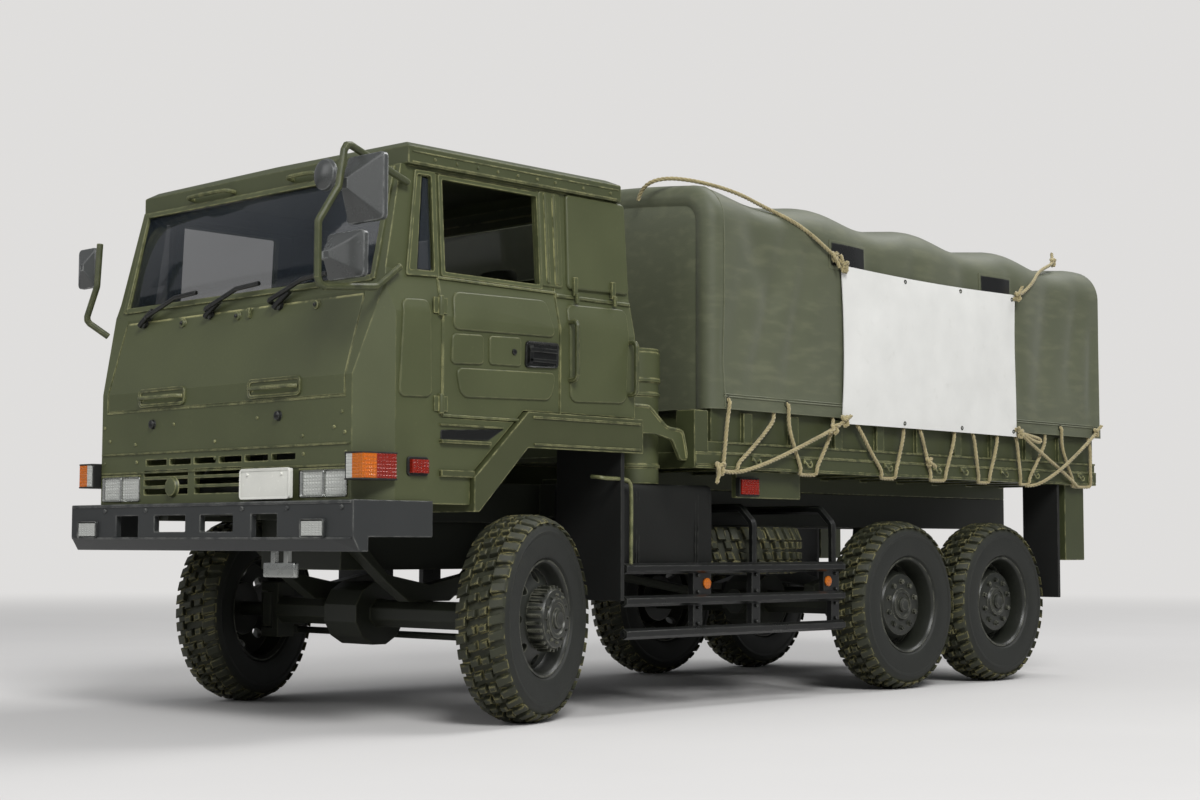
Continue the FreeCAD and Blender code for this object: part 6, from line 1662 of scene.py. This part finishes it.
# %% [markdown]
# ## Small things at the front
# The plate is blank with a rolled rim and two screws. The bumper carries bolts,
# and a bright shackle hangs below it. Both fenders have a strengthening bead.
# %% Plate, shackle and beads
plate_rim = plate(oblong((7.9, 19.7), (32.7, 37.2)), "Y", -97.1, -97.5, 0.6, 0.12)
plate_screws = domes([(9.8, -97.3, 36.3), (17.8, -97.3, 36.3)], "Y", 0.26, 0.2)
hand_over([sunk(plate_rim, AHEAD, 0.35, 0.16), plate_screws], "PlateRim", plate_white)
shadow_slot = plate(oblong((19.8, 20.15), (33.0, 37.4)), "Y", -95.6, -95.8, 0.1, 0.02)
hand_over(shadow_slot, "PlateGap", gloss_black)
lamp_tops = [bar(span, (-96.0, -95.5), (36.75, 37.05), 0.08) for span in ((20.0, 30.7), (-30.7, -20.0))]
hand_over(lamp_tops, "LampBrows", olive)
shackle = [bar((11.9, 19.3), (-96.0, -95.0), (21.5, 23.7), 0.3),
           bar((13.6, 14.6), (-95.9, -95.1), (23.5, 25.6), 0.1),
           bar((16.6, 17.6), (-95.9, -95.1), (23.5, 25.6), 0.1)]
hand_over(shackle, "FrontShackle", lamp_silver)
bumper_bolts = domes([(across, -98.45, 31.4) for across in (-25.5, -14.3, 10.2, 20.8, 32.9)], "Y", 0.4, 0.25)
bumper_lips = [bar((-34.9, 34.9), (-98.65, -98.3), (31.9, 32.3)),
               bar((-34.9, 34.9), (-98.65, -98.3), (27.0, 27.3), 0.1)]
hand_over([bumper_bolts, *bumper_lips], "BumperFittings", bumper_black)
beads = [bar((35.4, 35.75), (-64.6, -41.0), (45.0, 45.4), 0.1),
         bar((35.4, 35.75), (-64.4, -41.0), (41.0, 41.35), 0.1)]
hand_over(both(*beads), "FenderBeads", fender_shaded_olive)

# %% [markdown]
# ## Finishes for the CAD parts that stay
# Frame, axles and bed already have their real shapes. They only need softened
# edges and paint. A live Weld joins their loose triangles and a live Bevel
# rounds the edges, and neither touches the mesh itself.
# %% Dress the CAD nodes
KEPT = (
    (olive, "cab_shell door_left door_right front_lid"), (roof_shaded_olive, "cab_roof"),
    (fender_shaded_olive, "front_fenders"), (bumper_black, "front_bumper"), (shaded_window_glass, "cab_glass"),
    (chassis_dark, "knuckle_left knuckle_right tie_rod chassis_frame leaf_springs front_axle rear_axles"),
    (chassis_dark, "transfer_case drive_shafts engine_block dashboard canopy_bows fuel_tank tow_hook"),
    (gloss_black, "steering_wheel wipers side_guards"), (black_rubber, "mud_flaps"),
    (plate_white, "number_plate"), (red_glass, "tail_lamps"),
    (bed_olive, "mirror_stays grab_handles cargo_bed side_board_left side_board_right"),
    (bed_olive, "head_board tailgate"),
)
EDGE_ROUNDING = 0.14
BUMPER_ROUNDING = 0.3


def dress_node(name, material, width):
    """Paint a CAD node and round its edges without touching its mesh."""
    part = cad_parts[name]
    part.data.materials.clear()
    part.data.materials.append(material)
    weld = part.modifiers.new("Weld", "WELD")
    weld.merge_threshold = 2e-6
    bevel = part.modifiers.new("Soft", "BEVEL")
    bevel.width = width * MM
    bevel.segments = 2
    bevel.angle_limit = math.radians(28)


kept_nodes = [(name, material) for material, names in KEPT for name in names.split()]
for name, material in kept_nodes:
    dress_node(name, material, BUMPER_ROUNDING if name == "front_bumper" else EDGE_ROUNDING)
print("Dressed nodes:", len(kept_nodes))

# %% [markdown]
# ## Studio
# The floor is one large pale sheet that fades into the sky. Three soft lamps
# light the truck: the key from above its left side, a weak one from the front,
# and one from behind. A pale sky fills the shadows.
# %% Floor, lamps and sky
FLOOR_SIZE = 12.0
FADE_START, FADE_END = 0.24, 0.8
PAPER_DARK, PAPER_LIGHT = (0.60, 0.59, 0.58, 1), (0.64, 0.63, 0.62, 1)
BLACK = (0, 0, 0, 1)
SKY = (0.74, 0.73, 0.72, 1)
SHADOW_SKY, SHADOW_STRENGTH = (0.55, 0.56, 0.58, 1), 0.5
rest()
bpy.ops.mesh.primitive_plane_add(size=FLOOR_SIZE)
floor = bpy.context.object
floor.name = "Floor"
floor_finish = Finish("FloorPaper", "banner_white", Specular_IOR_Level=0.0)
floor_cloud = floor_finish.grain(60.0, 3.0)
paper = floor_finish.blend(floor_cloud, PAPER_DARK, PAPER_LIGHT)
distance = floor_finish.node("ShaderNodeVectorMath", {"operation": "LENGTH"},
                             {0: floor_finish.place()}, "Value")
far = floor_finish.ramp(distance, FADE_START, FADE_END)
in_sight = (floor_finish.node("ShaderNodeLightPath", output="Is Camera Ray")
            + floor_finish.node("ShaderNodeLightPath", output="Is Transmission Ray"))
floor_finish.shade(Base_Color=floor_finish.blend(far, paper, BLACK), Roughness=0.5 + 0.1 * floor_cloud,
                   Emission_Color=floor_finish.blend(far * in_sight, BLACK, SKY))
floor_finish.shader.inputs["Emission Strength"].default_value = 1.0
floor.data.materials.append(floor_finish.material)


def lamp(name, place, target, size, power):
    """A square soft lamp at a place that shines at a target, all in millimetres."""
    light = bpy.data.lights.new(name, "AREA")
    light.size = size * MM
    light.energy = power
    thing = bpy.data.objects.new(name, light)
    bpy.context.scene.collection.objects.link(thing)
    thing.location = Vector(place) * MM
    thing.rotation_mode = "QUATERNION"
    thing.rotation_quaternion = (Vector(target) - Vector(place)).to_track_quat("-Z", "Y")


lamp("KeyLamp", (600, -380, 580), (0, 0, 45), 300, 5.6)
lamp("FillLamp", (-230, -700, 360), (0, 0, 45), 420, 1.15)
lamp("BackLamp", (120, 420, 700), (0, 20, 60), 360, 3.4)

world = bpy.data.worlds.new("Studio")
bpy.context.scene.world = world
world.use_nodes = True
sky = world.node_tree
sky.nodes.clear()
output, mix, path, seen, fill = [sky.nodes.new(f"ShaderNode{kind}") for kind in
                                 ("OutputWorld", "MixShader", "LightPath", "Background", "Background")]
seen.inputs["Color"].default_value = SKY
fill.inputs["Color"].default_value = SHADOW_SKY
fill.inputs["Strength"].default_value = SHADOW_STRENGTH
sky.links.new(path.outputs["Is Camera Ray"], mix.inputs["Fac"])
sky.links.new(fill.outputs[0], mix.inputs[1])
sky.links.new(seen.outputs[0], mix.inputs[2])
sky.links.new(mix.outputs[0], output.inputs["Surface"])
